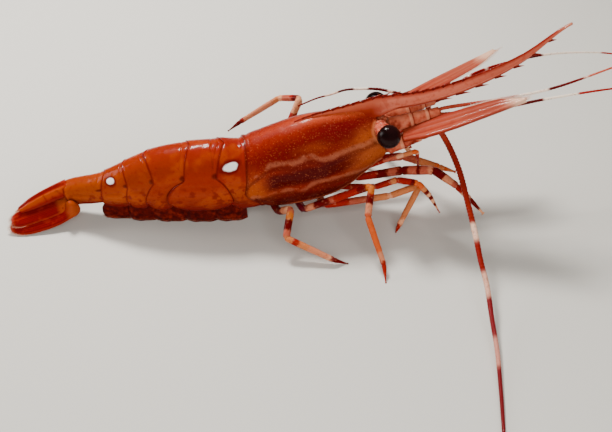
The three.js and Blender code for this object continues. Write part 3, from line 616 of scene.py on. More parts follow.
def spike_tree():
    """Sets spikes evenly along a line. Each points along, and is as long as, the line's aim."""
    tree = new_tree("spikes", SPIKE_INPUTS)
    given = wire(tree, "NodeGroupInput").outputs
    line = wire(tree, "GeometryNodeMeshToCurve", {0: given["Geometry"]}).outputs[0]
    evenly_set = {"Curve": line, "Count": given["Count"]}
    spots = wire(tree, "GeometryNodeResampleCurve", evenly_set).outputs[0]
    share = wire(tree, "GeometryNodeSplineParameter").outputs["Factor"]
    spots = stored(tree, spots, "root_share", share)
    aim = named(tree, "aim", "FLOAT_VECTOR")
    length = vectors(tree, "LENGTH", {0: aim})["Value"]
    any_way = {0: (-1, -1, -1), 1: (1, 1, 1), "Seed": given["Seed"]}
    chance = wire(tree, "FunctionNodeRandomValue", any_way, data_type="FLOAT_VECTOR").outputs[0]
    reach = maths(tree, "MULTIPLY", length, given["Shake"])
    shake = vectors(tree, "SCALE", {0: chance, "Scale": reach})[0]
    aimed = vectors(tree, "ADD", {0: aim, 1: shake})[0]
    long = vectors(tree, "LENGTH", {0: aimed})["Value"]
    turn = wire(tree, "FunctionNodeAlignRotationToVector", {"Vector": aimed}, axis="Z").outputs[0]
    sizes = {0: given["Thickness"], 1: given["Thickness"], 2: long}
    stretch = wire(tree, "ShaderNodeCombineXYZ", sizes).outputs[0]
    cone = wire(tree, "GeometryNodeMeshCone", CONE)
    height = wire(tree, "GeometryNodeInputPosition").outputs[0]
    height = wire(tree, "ShaderNodeSeparateXYZ", {0: height}).outputs[2]
    spike = stored(tree, cone.outputs["Mesh"], "tip", height)
    spike = stored(tree, spike, "patch", cone.outputs["UV Map"], "FLOAT_VECTOR", "CORNER")
    sown = {"Points": spots, "Instance": spike, "Rotation": turn, "Scale": stretch}
    sown = wire(tree, "GeometryNodeInstanceOnPoints", sown).outputs[0]
    solid = wire(tree, "GeometryNodeRealizeInstances", {0: sown}).outputs[0]
    patch = named(tree, "patch", "FLOAT_VECTOR")
    patch = vectors(tree, "SCALE", {0: patch, "Scale": BAKE_PATCH})[0]
    root = {0: named(tree, "root_share"), 1: given["Row"]}
    root = wire(tree, "ShaderNodeCombineXYZ", root).outputs[0]
    baked = vectors(tree, "ADD", {0: patch, 1: root})[0]
    solid = stored(tree, solid, "OFBake", baked, "FLOAT2", "CORNER")
    return finished(tree, solid, given["Material"])


def aimed_line(points, aims):
    """A line of edges, with the way its spikes grow kept as the attribute aim."""
    mesh = bpy.data.meshes.new("line")
    mesh.from_pydata([metres(p) for p in points], [(i, i + 1) for i in range(len(points) - 1)], [])
    aim = mesh.attributes.new("aim", "FLOAT_VECTOR", "POINT")
    for item, value in zip(aim.data, aims):
        item.vector = value * MM
    return mesh


def grow(line, tree, **values):
    """What a tree grows on a line, as a plain mesh."""
    carrier = add_to_scene(bpy.data.objects.new("carrier", line))
    modifier = carrier.modifiers.new("grow", "NODES")
    modifier.node_group = tree
    labels = {s.name: s.identifier for s in tree.interface.items_tree if s.in_out == "INPUT"}
    for label, value in values.items():
        modifier[labels[label.replace("_", " ")]] = value
    bpy.context.view_layer.update()
    evaluated = carrier.evaluated_get(bpy.context.evaluated_depsgraph_get())
    mesh = bpy.data.meshes.new_from_object(evaluated)
    bpy.data.objects.remove(carrier)
    bpy.data.meshes.remove(line)
    return mesh


def joined(name, meshes):
    """Several plain meshes as one."""
    parts = [add_to_scene(bpy.data.objects.new(name, m)) for m in meshes]
    with bpy.context.temp_override(
        active_object=parts[0], object=parts[0], selected_editable_objects=parts, selected_objects=parts
    ):
        bpy.ops.object.join()
    mesh = parts[0].data
    bpy.data.objects.remove(parts[0])
    return mesh


SPIKES = spike_tree()


def tooth_paint(name, shades):
    p = Paint(name)
    tip = p.add("ShaderNodeAttribute", attribute_name="tip").outputs["Fac"]
    return p.finish(p.ramp(tip, shades), grain=0.8, depth=0.005)


UPPER_TOOTH_PAINT = tooth_paint("upper_tooth_paint", {0.0: "6e1a14", 0.6: "7c2018", 1.0: "b86048"})
LOWER_TOOTH_PAINT = tooth_paint("lower_tooth_paint", {0.0: "b04028", 0.5: "d08468", 0.85: "ecc9ae"})


def blade_x(share):
    """A place along the head, as a share of the free blade's length."""
    return CARAPACE_LENGTH + share * ROSTRUM_LENGTH


def saw_teeth():
    """The teeth of the crest and blade lie forward; those below lengthen towards the root."""
    top, bottom = [], []
    shares = even_shares(39)
    for t in shares:
        x = lerp(CREST_START + 3, blade_x(0.44), t)
        z, deep, _ = rostrum_at(x)
        top.append(HEAD @ Vector((x, 0, z + deep / 2 - 0.45)))
        x = lerp(blade_x(0.3), blade_x(0.88), t)
        z, deep, _ = rostrum_at(x)
        bottom.append(HEAD @ Vector((x, 0, z - deep / 2 + 0.4)))
    turn = HEAD.to_3x3()
    rise = [turn @ Vector((3.2, 0, 0.95)) for _ in top]
    drop = [turn @ Vector((1, 0, -0.14)) * lerp(5.6, 2.8, t) for t in shares]
    upper = {"Count": 17, "Thickness": 0.0006, "Row": 0.2, "Material": UPPER_TOOTH_PAINT}
    lower = {"Count": 7, "Thickness": 0.0007, "Row": 0.4, "Material": LOWER_TOOTH_PAINT}
    upper = grow(aimed_line(top, rise), SPIKES, **upper)
    lower = grow(aimed_line(bottom, drop), SPIKES, **lower)
    return joined("saw_teeth", [upper, lower])


new_piece("rostrum_blade", rostrum_mesh(), rostrum_paint(), "rostrum", "rostrum")
new_piece("saw_teeth", saw_teeth(), UPPER_TOOTH_PAINT, "rostrum")

# ---- Eyes ----------------------------------------------------------------------------------
# A glossy black globe of tiny facets on a short, wrinkled stalk that grows from the front of
# the head, on each side of the rostrum's root.
EYE_PLACE = Vector((49.4, 10.1, 5.8))
EYE_RADIUS = 4.0
FACETS = 5200.0  # to the metre
HEAD_FRONT = {
    "from": 45.0,
    "to": 52.5,
    "wide": [7.0, 6.2, 4.2, 3.8, 3.4],
    "top": [9.8, 9.2, 8.0, 7.4, 6.4],
    "bottom": [-3.6, -3.4, -3.2, -2.8, -2.0],
}


def turns(sides):
    """The cosine and sine of each even turn round a ring."""
    angles = [2 * math.pi * i / sides for i in range(sides)]
    return [(math.cos(turn), math.sin(turn)) for turn in angles]


def mirrored(point, side):
    return Vector((point.x, side * point.y, point.z))


def eye_mesh(side):
    rings = []
    steps, sides = 40, 56
    for k in range(1, steps):
        polar = math.pi * k / steps
        flat, high = math.sin(polar), math.cos(polar)
        ring = []
        for c, s in turns(sides):
            out = Vector((flat * c, flat * s, high))
            ring.append(HEAD @ (mirrored(EYE_PLACE, side) + EYE_RADIUS * out))
        rings.append(ring)
    return skin("eye_globe", rings, even_shares(steps)[1:-1], even_shares(sides))


def eye_paint():
    p = Paint("eye_paint")
    coat = p.ramp(p.noise(5.0), {0.35: "0a0405", 0.6: "1c080a"})
    cells = {"Vector": p.place, "Scale": FACETS}
    facets = p.add("ShaderNodeTexVoronoi", cells, feature="DISTANCE_TO_EDGE")
    lines = p.step(facets.outputs[0], 0.0, 0.12)
    coat = p.tint("1c0807", coat, lines)
    p.tree.links.new(coat, p.shader.inputs["Base Color"])
    relief = p.add("ShaderNodeBump", {"Height": lines, "Distance": 0.000004, "Strength": 1.0})
    p.tree.links.new(relief.outputs[0], p.shader.inputs["Normal"])
    p.shader.inputs["Roughness"].default_value = 0.12
    p.shader.inputs["Specular IOR Level"].default_value = 0.1
    return p.material


def tube(stations, sides, up, grain):
    """Rings of an oval along stations of (middle, radius, flatness across up), a little rough."""
    rings = []
    count = len(stations)
    side = None
    for k, (at, radius, flat) in enumerate(stations):
        before = stations[max(k - 1, 0)][0]
        after = stations[min(k + 1, count - 1)][0]
        way = (after - before).normalized()
        if side is None:
            side = way.cross(up).normalized()
        side = (side - side.dot(way) * way).normalized()
        top = side.cross(way)
        ring = []
        for c, s in turns(sides):
            point = at + side * c * radius + top * s * radius * flat
            ring.append(point + (point - at).normalized() * grain * wander(point, 1.1))
        rings.append(ring)
    return rings


def through(knots, s):
    """The point s spans along a centripetal curve through the knots."""
    last = len(knots) - 1
    s = min(max(s, 0.0), last)
    i = min(int(s), last - 1)
    f = s - i
    b, c = knots[i], knots[i + 1]
    a = knots[i - 1] if i > 0 else 2 * b - c
    d = knots[i + 2] if i + 2 <= last else 2 * c - b
    d0, d1, d2 = ((q - p).length ** 0.5 for p, q in ((a, b), (b, c), (c, d)))
    rise = ((b - a) / d0 - (c - a) / (d0 + d1) + (c - b) / d1) * d1
    fall = ((c - b) / d1 - (d - b) / (d1 + d2) + (d - c) / d2) * d1
    return glide(b, c, rise, fall, f)


def stalk_mesh(side):
    knots = [
        (Vector((47.6, 4.2, 7.0)), 2.2),
        (Vector((47.8, 6.0, 6.9)), 2.5),
        (Vector((48.2, 7.6, 6.6)), 2.9),
        (Vector((48.8, 9.0, 6.2)), 3.5),
        (Vector((49.3, 9.9, 5.9)), 3.82),
    ]
    stations = []
    lengthwise = even_shares(40)
    for t in lengthwise:
        at = through([p for p, _ in knots], 4 * t)
        radius = along([r for _, r in knots], t) * (1 + 0.035 * math.sin(30 * t))
        stations.append((HEAD @ mirrored(at, side), radius, 1.0))
    rings = tube(stations, 36, Vector((1, 0, 0)), grain=0.16)
    return skin("eye_stalk", rings, lengthwise, even_shares(36))


def flesh_paint(name, light, dark, size=1.2):
    p = Paint(name)
    coat = p.ramp(p.noise(size, 5.0), {0.36: dark, 0.62: light})
    folds = p.step(p.noise(0.5, 3.0), 0.5, 0.68)
    coat = p.tint(coat, "f0b79a", folds, 0.3)
    return p.finish(coat, rough=(0.3, 0.5), grain=0.45, depth=0.05, coat=0.35, sheer=0.2)


STALK_PAINT = flesh_paint("stalk_paint", "cf6e56", "93301f")
EYE_PAINT = eye_paint()
for name, side in SIDES.items():
    new_piece(f"eye_globe_{name}", eye_mesh(side), EYE_PAINT, "eye", f"eye_{name}")
    new_piece(f"eye_stalk_{name}", stalk_mesh(side), STALK_PAINT, "flesh", f"eyestalk_{name}")


def head_front_mesh():
    """A block with rounded corners that closes the shell between the stalks."""
    rings = []
    lengthwise, sides = even_shares(24), 32
    for t in lengthwise:
        wide, top, bottom = (along(HEAD_FRONT[key], t) for key in ("wide", "top", "bottom"))
        ring = []
        for c, s in turns(sides):
            corner = 1 / max(abs(c), abs(s)) ** 0.4
            y = wide * c * corner * 0.9
            z = lerp(bottom, top, (s * corner * 0.9 + 1) / 2)
            point = Vector((lerp(HEAD_FRONT["from"], HEAD_FRONT["to"], t), y, z))
            ring.append(HEAD @ (point + Vector((0, 1, 1)) * 0.2 * wander(point, 1.4)))
        rings.append(ring)
    return skin("head_front_block", rings, lengthwise, even_shares(sides))


BROW_PAINT = flesh_paint("brow_paint", "d07a5c", "a03c28")
new_piece("head_front_block", head_front_mesh(), BROW_PAINT, "flesh", "head_front")

# ---- Feeler stems --------------------------------------------------------------------------
# Two pairs of three-jointed stems in front of the head: the slim inner pair carries two whips
# each, the stout outer pair one long antenna each. Every joint flares where the next begins.
LITTLE_STEM = {"from": 50.4, "to": 68.9, "y": 3.0, "z": 4.9, "out": 0.6, "rise": 1.1}
LITTLE_STEM.update({"radius": 3.0, "thin": 0.42})
BIG_STEM = {"from": 48.0, "to": 67.4, "y": 7.2, "z": -0.3, "out": 0.9, "rise": 3.0}
BIG_STEM.update({"radius": 3.1, "thin": 0.5})
LITTLE_JOINTS = [0.475, 0.775]
BIG_JOINTS = [0.32, 0.64]


def flared(t, joints):
    """A joint's profile: a rim where each length ends and a pinch just past it."""
    shape = 1.0
    for joint in joints:
        shape += 0.06 * hump(t, joint - 0.04, 0.04) - 0.14 * hump(t, joint + 0.005, 0.014)
    return shape


def stem_mesh(name, stem, joints, side):
    stations = []
    lengthwise = even_shares(90)
    for t in lengthwise:
        x = lerp(stem["from"], stem["to"], t)
        at = Vector((x, side * (stem["y"] + stem["out"] * t), stem["z"] + stem["rise"] * t))
        close = min(1.0, 0.55 + t * 8, 0.55 + (1 - t) * 14)
        radius = stem["radius"] * (1 - stem["thin"] * t) * flared(t, joints) * close
        stations.append((HEAD @ at, radius, 0.92))
    rings = tube(stations, 28, Vector((0, 0, 1)), grain=0.07)
    return skin(name, rings, lengthwise, even_shares(28))


def stem_paint(name, light, mid, dark, joints):
    p = Paint(name)
    coat = p.ramp(p.shaken(p.noise(3.2, 2.0), 0.2, 1.0), {0.34: dark, 0.46: mid, 0.62: light})
    for joint in joints:
        coat = p.tint(coat, "dc9c7c", p.band(p.along, joint - 0.03, 0.03, 0.03), 0.6)
        coat = p.tint(coat, "8a3020", p.band(p.along, joint + 0.01, 0.008, 0.012), 0.8)
    return p.finish(coat, depth=0.02, sheer=0.2)


LITTLE_PAINT = stem_paint("little_stem_paint", "c87a5e", "ba644a", "94402c", LITTLE_JOINTS)
BIG_PAINT = stem_paint("big_stem_paint", "c06c50", "a84c36", "842c1c", BIG_JOINTS)
for name, side in SIDES.items():
    mesh = stem_mesh("little_stem", LITTLE_STEM, LITTLE_JOINTS, side)
    new_piece(f"little_stem_{name}", mesh, LITTLE_PAINT, "limb", f"antennule_stem_{name}")
    mesh = stem_mesh("big_stem", BIG_STEM, BIG_JOINTS, side)
    new_piece(f"big_stem_{name}", mesh, BIG_PAINT, "scale", f"antenna_stem_{name}")

# ---- Antennal scales -----------------------------------------------------------------------
# A long flat blade beside each side of the rostrum: a stiff, thick outer edge that ends in a
# spine, a thin ribbed inner part, and a comb of pale bristles round the tip.
SCALE_ROOT = Vector((54.4, 8.6, 3.5))
SCALE_TIPS = {"right": Vector((94.7, -15.0, 11.3)), "left": Vector((95.0, 19.4, 8.6))}
SCALE_ROLLS = {"right": 4, "left": -14}
SCALE_INNER = [4.4, 5.4, 5.3, 5.0, 4.2, 0.4]
SCALE_OUTER = [3.4, 4.9, 4.8, 3.9, 2.8, 1.4]


def scale_frame(name, side):
    root = mirrored(SCALE_ROOT, side)
    tip = SCALE_TIPS[name]
    ahead = (tip - root).normalized()
    roll = math.radians(SCALE_ROLLS[name])
    out = Vector((0, side * math.cos(roll), math.sin(roll)))
    out = (out - out.dot(ahead) * ahead).normalized()
    return root, tip, out, (ahead.cross(out) * -side).normalized()


def scale_point(name, side, t, a, b):
    """t along the blade, a outwards and b up from its middle line, in millimetres."""
    root, tip, out, up = scale_frame(name, side)
    return HEAD @ (root.lerp(tip, t) + out * a + up * b)


def plate_shares(across):
    """Shares across the top of a plate and back along its underside."""
    return across + [1 - share for share in across[1:-1]] + [0.0]


def scale_mesh(name, side):
    lengthwise, across = even_shares(110), even_shares(26)
    rings = []
    for t in lengthwise:
        inner, outer = along(SCALE_INNER, t), along(SCALE_OUTER, t)
        top, bottom = [], []
        for share in across:
            a = lerp(outer, -inner, share)
            edge = min(1.0, 4.0 * math.sqrt(max(share * (1 - share), 0.0)))
            stiff = 0.5 * hump(share, 0.14, 0.13) + 0.34
            rib = 0.07 * math.cos(9 * math.pi * share)
            rib *= smooth((share - 0.25) / 0.15) * smooth(t / 0.15)
            cup = -0.35 * math.sin(math.pi * share) * smooth(t / 0.2) * 0.4
            top.append(scale_point(name, side, t, a, (stiff + rib) * edge * 0.95 + cup))
            bottom.append(scale_point(name, side, t, a, -(stiff * 0.7 - rib) * edge * 0.9 + cup))
        rings.append(top + bottom[-2:0:-1])
    return skin("scale_blade", rings, lengthwise, plate_shares(across))


SCALE_SHADES = {0.0: "8a2416", 0.07: "a04430", 0.2: "b45e48", 0.3: "983a28", 0.4: "ac543e"}
SCALE_SHADES.update({0.6: "a04832", 0.8: "a44c38", 0.9: "943426", 1.0: "86201a"})


def scale_paint(name, bleach):
    """The left scale is seen from its pale inner side, so it is bleached towards its tip."""
    p = Paint(f"scale_paint_{name}")
    share = p.shaken(p.across, 0.05, 5.0)
    coat = p.ramp(share, SCALE_SHADES)
    ribs = p.ripples(p.across, 56.0)
    coat = p.tint(coat, "8c3c2a", p.step(ribs, 0.5, 1.0), 0.3)
    cloud = p.step(p.noise(4.0, 3.0), 0.5, 0.66)
    coat = p.tint(coat, "8c3826", cloud, 0.35)
    deep = p.times(p.step(p.along, 0.45, 0.62), p.step(p.along, 0.88, 0.76))
    coat = p.tint(coat, "86281a", deep, 0.5 - bleach)
    coat = p.tint(coat, "d49a80", p.step(p.along, 0.2, 0.8), bleach)
    coat = p.tint(coat, "dcb59c", p.step(p.shaken(p.along, 0.1, 3.0), 0.86 - 0.5 * bleach, 0.95))
    return p.finish(coat, depth=0.015, sheer=0.06)


def bristle_paint(name, root, tip):
    p = Paint(name)
    share = p.add("ShaderNodeAttribute", attribute_name="tip").outputs["Fac"]
    coat = p.ramp(share, {0.0: root, 1.0: tip})
    return p.finish(coat, rough=(0.4, 0.6), grain=0.6, depth=0.003, coat=0.1, sheer=0.3)


def scale_comb(name, side):
    """Bristles up the inner edge, longest at the tip, and round its end."""
    points, aims = [], []
    root, tip, out, _ = scale_frame(name, side)
    ahead = (tip - root).normalized()
    turn = HEAD.to_3x3()
    for k in range(60):
        t = lerp(0.5, 1.0, min(1.0, k / 44))
        share = 1.0 if k < 44 else lerp(1.0, 0.35, (k - 44) / 15)
        inner, outer = along(SCALE_INNER, t), along(SCALE_OUTER, t)
        points.append(scale_point(name, side, t, lerp(outer, -inner, share) + 0.1, 0.0))
        lean = smooth((t - 0.5) / 0.5)
        aim = turn @ (ahead * lerp(0.7, 1.0, lean) - out * lerp(0.7, 0.1, lean)).normalized()
        aims.append(aim * lerp(1.4, 3.4, lean))
    values = {"Count": 120, "Thickness": 0.00007, "Shake": 0.1, "Row": 0.3}
    return grow(aimed_line(points, aims), SPIKES, Material=COMB_PAINT, **values)


SCALE_PAINTS = {"right": scale_paint("right", 0.1), "left": scale_paint("left", 0.2)}
COMB_PAINT = bristle_paint("comb_paint", "d0a08c", "f6ece2")
for name, side in SIDES.items():
    mesh, paint = scale_mesh(name, side), SCALE_PAINTS[name]
    new_piece(f"scale_blade_{name}", mesh, paint, "scale", f"antennal_scale_{name}")
    new_piece(f"scale_comb_{name}", scale_comb(name, side), COMB_PAINT, "scale")

# ---- Thorax ------------------------------------------------------------------------------
# The soft underside between the side plates, crossed by folds between the roots of the limbs.
THORAX = {"from": 2, "to": 45}
THORAX_INSET = 3.7  # from the side of the shell in to the thorax
THORAX_FLOOR = 0.86  # the thorax's depth, as a share of the side plates'
FOLD_SPACING = 8.0


def thorax_mesh():
    rings = []
    lengthwise, sides = even_shares(80), 44
    for t in lengthwise:
        x = lerp(THORAX["from"], THORAX["to"], t)
        wide = along(CARAPACE_WIDTH, x / CARAPACE_LENGTH) - THORAX_INSET
        deep = along(CARAPACE_DEPTH, x / CARAPACE_LENGTH)
        top, low = -deep * UNDERSIDE - 1.0, -deep * THORAX_FLOOR
        fold = 0.3 * math.sin(2 * math.pi * (x - 5) / FOLD_SPACING)
        ring = []
        for c, s in turns(sides):
            flat = 1 / max(abs(c), abs(s)) ** 0.7
            z = (top + low) / 2 + (top - low) / 2 * s * flat * 0.82
            y = wide * c * flat * 0.82 * (1 if s > 0 else 1 - 0.3 * s * s)
            point = Vector((x, y, z))
            out = Vector((0, c, s)) * (fold if s < 0 else 0) * 0.6
            ring.append(HEAD @ (point + out + Vector((0, c, s)) * 0.22 * wander(point, 1.6)))
        rings.append(ring)
    return skin("thorax_flesh", rings, lengthwise, even_shares(sides))


FLESH_PAINT = flesh_paint("flesh_paint", "b4583a", "7a2416")
new_piece("thorax_flesh", thorax_mesh(), FLESH_PAINT, "flesh", "thorax")

# ---- Abdomen -------------------------------------------------------------------------------
# Six shell rings on a chain that arches down to the tail. Each ring's front slips under the
# ring before it; the second ring's side plates are the widest and lie over both neighbours.
HINGES = [
    NECK,
    Vector((11.6, -5.0, 18.1)),
    Vector((1.4, -5.9, 17.4)),
    Vector((-8.8, -6.9, 16.2)),
    Vector((-17.4, -7.8, 14.4)),
    Vector((-26.4, -8.2, 12.0)),
    Vector((-40.6, -8.0, 9.2)),
    Vector((-57.5, -16, 2.2)),
]
ABDOMEN_WIDTH = [10.1, 9.9, 9.5, 8.5, 6.9, 5.1, 3.8]
ABDOMEN_HEIGHT = [10.9, 11.8, 11.4, 10.2, 8.0, 5.6, 3.4]
ABDOMEN_DEPTH = [11.0, 10.4, 9.8, 9.0, 7.2, 5.2, 4.2]
RINGS = 6
# How far each hinge line bows back at the ridge, and then down the side plate to its edge.
BOW_RIDGE = [0, -3.2, -2.2, 2.3, 0.8, -1.8, -0.5]
BOW_EDGE = [
    [0, 0],
    [0, -1.9, -3.1, -3.9, -4.3, -4.3, -3.6],
    [0, 3.8, 5.9, 6.9, 7.1, 6.6, 5.1],
    [0, 1.8, 3.1, 4.1, 4.6, 4.8, 4.3],
    [0, 0.7, 1.3, 1.9, 2.2, 2.1, 1.5],
    [0, 0.35, 0.6, 0.9, 1.0, 0.9, 0.5],
    [0, 0],
]
HINGE_LINE = 0.5  # share down the flank where the rings turn on each other
RING_GAP = 0.1
RING_WALL = 1.1
REACH = [0.0]  # from the neck to each hinge, along the body
for here, there in zip(HINGES, HINGES[1:]):
    REACH.append(REACH[-1] + (there - here).length)
NECKWARD = HEAD.to_3x3() @ Vector((1, 0, 0))


def hinge_share(s):
    i = 0
    while i < RINGS and s > REACH[i + 1]:
        i += 1
    return i + (s - REACH[i]) / (REACH[i + 1] - REACH[i])


def spine_frame(s):
    """Where the body's axis runs, s behind the neck, and its ahead, left and up."""
    h = hinge_share(s)
    at = through(HINGES, h)
    if s < 0:
        at = at - NECKWARD * s
    ahead = (through(HINGES, h - 0.1) - through(HINGES, h + 0.1)).normalized()
    ahead = ahead.lerp(NECKWARD, min(max(1 - s / 6, 0.0), 1.0)).normalized()
    left = Vector((0, 0, 1)).cross(ahead).normalized()
    return at, ahead, left, ahead.cross(left).normalized()


def bow(hinge, v):
    """How far a hinge line bows back over the ridge, and down to the side plate's edge."""
    if hinge == 0:
        return -carapace_hind(v)
    if v < HINGE_LINE:
        return BOW_RIDGE[hinge] * (1 - v / HINGE_LINE) ** 1.4
    return along(BOW_EDGE[hinge], (v - HINGE_LINE) / (1 - HINGE_LINE))


def ring_relief(number, f, v, point):
    rim = 0.12 * hump(f, 0.98, 0.02) - 0.08 * hump(f, 0.94, 0.02)
    fore = -0.14 * hump(f, 0.12, 0.02) * smooth((0.45 - v) / 0.1)
    knob = 0.3 * (hump(f, 0.04, 0.06) + hump(f, 0.97, 0.06)) * hump(v, 0.475, 0.03)
    lobe = 0.3 * hump(v, 0.985, 0.02) - 0.25 * hump(v, 0.94, 0.02)
    swell = 0.5 * hump(v, 0.72, 0.1) * math.sin(math.pi * min(max(f, 0), 1))
    crease = -0.3 * hump(v, 0.6, 0.03) * smooth((f - 0.1) / 0.2) * smooth((0.95 - f) / 0.2)
    facet = 0.0
    if number == 2:
        line = along([0.33, 0.27, 0.16, 0.1], v / 0.4)
        facet = -0.28 * hump(f, line, 0.02) * smooth((0.44 - v) / 0.06)
    bumps = 0.1 * wander(point, 5.0) + 0.05 * wander(point, 1.6)
    return rim + fore + knob + lobe + swell + crease + facet + bumps


def ring_point(number, f, v, side, inset):
    """f runs from the ring's front edge, tucked in at f below 0, to its hind edge at 1."""
    start = REACH[number - 1] + bow(number - 1, v) + RING_GAP
    end = REACH[number] + bow(number, v)
    s = lerp(start, end, f)
    over_first = number == 2 and v > HINGE_LINE
    if f < 0 and over_first:
        s = start
    at, _, left, up = spine_frame(s)
    t = hinge_share(s) / RINGS
    share = min(max(f, 0.0), 1.0)
    rounded = 0.2 * abs(2 * share - 1) ** 3
    if number == 1 and share < 0.5:
        rounded = 0.0
    if number == RINGS:
        rounded = 0.35 * (1 - share) ** 1.5
    deep = along(ABDOMEN_DEPTH, t) * (1 - rounded * smooth((v - 0.75) * 4))
    wide, high = along(ABDOMEN_WIDTH, t), along(ABDOMEN_HEIGHT, t)
    y, z = side_point(v, wide, high, deep)
    out = Vector((y / wide, z / high if z > 0 else 0.0)).normalized()
    if v > ARCH_SHARE:
        out = Vector((1.0, 0.0))
    tuck = -0.5 * smooth(-f / 0.06) if not over_first else 0.0
    settle = lerp(-0.12, 0.1, smooth(share))
    if number == 2:
        settle += 0.32 * smooth((v - 0.5) / 0.15)
    if number in (1, 3) and v > HINGE_LINE:
        edge = share if number == 1 else 1 - share
        settle -= 0.35 * smooth((edge - 0.6) / 0.3)
    push = ring_relief(number, share, v, at + left * side * y + up * z) + tuck + settle - inset
    return at + left * side * (y + out.x * push) + up * (z + out.y * push)


def ring_mesh(number):
    long = REACH[number] - REACH[number - 1]
    tuck = 1.7 / long
    steps = 64
    stations = [-tuck, -tuck * 0.5, -tuck * 0.2, *even_shares(steps)[:-1], 0.99, 1.0]
    rings = []
    for f in stations:
        at, _, _, up = spine_frame(lerp(REACH[number - 1] + RING_GAP, REACH[number], f))
        t = hinge_share(lerp(REACH[number - 1], REACH[number], f)) / RINGS
        belly = at - up * (along(ABDOMEN_DEPTH, t) * UNDERSIDE + 0.4)
        rings.append(
            shell_ring(lambda v, side, inset: ring_point(number, f, v, side, inset), belly, RING_WALL)
        )
    return skin(f"ring_{number}", rings, stations, shell_shares())


RING_COATS = {
    1: ("942a17", "942a14", "903a16"),
    2: ("962a12", "98300f", "9c3c18"),
    3: ("962e0e", "98340b", "983a12"),
    4: ("98340e", "983a0c", "9c4214"),
    5: ("98390c", "9c3f0c", "9c4814"),
    6: ("9c400c", "a24a10", "a44e18"),
}
WHITE_SPOTS = {1: ((0.57, 0.36), (0.25, 0.058), -0.32), 5: ((0.58, 0.31), (0.155, 0.074), 0.2)}


def ring_paint(number):
    p = Paint(f"ring_{number}_paint")
    back, flank, low = RING_COATS[number]
    v = p.shaken(p.across, 0.08, 4.0)
    coat = p.ramp(v, {0.0: back, 0.3: flank, 0.56: flank, 0.72: low, 1.0: "7c1c0c"})
    glow = p.step(p.noise(7.0, 2.0), 0.48, 0.66)
    coat = p.tint(coat, "bc5a1a", glow, 0.4)
    mottle = p.step(p.noise(2.4, 5.0), 0.52, 0.64)
    low_side = p.step(p.across, 0.55, 0.68)
    coat = p.tint(coat, "7a160a", p.times(mottle, p.times(low_side, 0.7)))
    net = p.step(p.noise(1.1, 5.0), 0.56, 0.66)
    coat = p.tint(coat, "8c1d0a", net, 0.35)
    coat = p.tint(coat, "6e120a", p.step(p.across, 0.93, 0.985), 0.75)
    hind = p.step(p.shaken(p.along, 0.02, 2.0), 0.94, 0.985)
    coat = p.tint(coat, "74150b", hind, 0.8)
    fore = p.step(p.along, 0.035, 0.005)
    coat = p.tint(coat, "8a2410", fore, 0.6)
    if number > 1:
        dot = p.spot((0.03, 0.47), (0.1, 0.035), 0.5)
        coat = p.tint(coat, "5a0f0a", dot, 0.75)
    if number in WHITE_SPOTS:
        middle, reach, slant = WHITE_SPOTS[number]
        wide = (reach[0] * 1.5, reach[1] * 1.7)
        coat = p.tint(coat, "70100c", p.spot(middle, wide, 0.25, slant), 0.9)
        coat = p.tint(coat, "fbf6f4", p.spot(middle, reach, 0.18, slant))
    coat = p.tint(coat, "8a4a30", p.step(p.across, 1.03, 1.08))
    return p.finish(coat, rough=(0.22, 0.36), depth=0.025, coat=0.5, sheer=0.2)


for number in range(1, RINGS + 1):
    mesh, paint = ring_mesh(number), ring_paint(number)
    slot = "shell_red" if number < 3 else "shell_orange"
    new_piece(f"shell_ring_{number}", mesh, paint, slot, f"abdomen_ring_{number}")

# ---- Swimmerets ----------------------------------------------------------------------------
# A row of ten broad soft paddles under the belly, fringed with bristles, which hang side by
# side below the side plates. Their lower edges rest on the floor.
PADDLE = {"high": [1.0, 0.6, 0.25, 0.0], "wide": [0.55, 0.65, 0.6, 0.45], "long": [0.7, 1.0, 1.04, 0.98]}
PADDLE_SIDES = 48
PADDLE_RINGS = range(1, RINGS)  # each ring but the last carries a pair
FLOOR_GAP = 0.02  # nothing reaches nearer the floor than this


def swimmeret_frame(number, side):
    """The paddle's middle line from above, its half-width, half-length, top and way forward."""
    s = (REACH[number - 1] + REACH[number]) / 2
    at, ahead, left, _ = spine_frame(s)
    t = hinge_share(s) / RINGS
    out = (along(ABDOMEN_WIDTH, t) - 2.5) * 0.5
    top = at.z - along(ABDOMEN_DEPTH, t) * UNDERSIDE - 2.4
    return at + left * (side * out * 1.1), out, (REACH[number] - REACH[number - 1]) * 0.56, top, ahead


def paddle_ring(number, side, t):
    """t runs down from the belly to the floor."""
    middle, out, long, top, ahead = swimmeret_frame(number, side)
    fore = Vector((ahead.x, ahead.y, 0)).normalized()
    across = Vector((-fore.y, fore.x, 0))
    high, wide, length = (along(PADDLE[key], t) for key in ("high", "wide", "long"))
    lean = 0.8 * math.sin(math.pi * t)
    ring = []
    for i in range(PADDLE_SIDES):
        turn = 2 * math.pi * i / PADDLE_SIDES
        pleat = 1 + 0.1 * math.cos(6 * turn) * smooth(t / 0.3)
        x = math.cos(turn) * long * length
        y = math.sin(turn) * out * wide * pleat
        point = middle + fore * (x - lean) + across * y
        ring.append(Vector((point.x, point.y, max(high * top, FLOOR_GAP))))
    return [point + Vector((0.12, 0.12, 0)) * wander(point, 1.3) for point in ring]


def swimmeret_mesh(number, side):
    lengthwise = even_shares(36)
    rings = [paddle_ring(number, side, t) for t in lengthwise]
    return skin("swimmeret", rings, lengthwise, even_shares(PADDLE_SIDES))


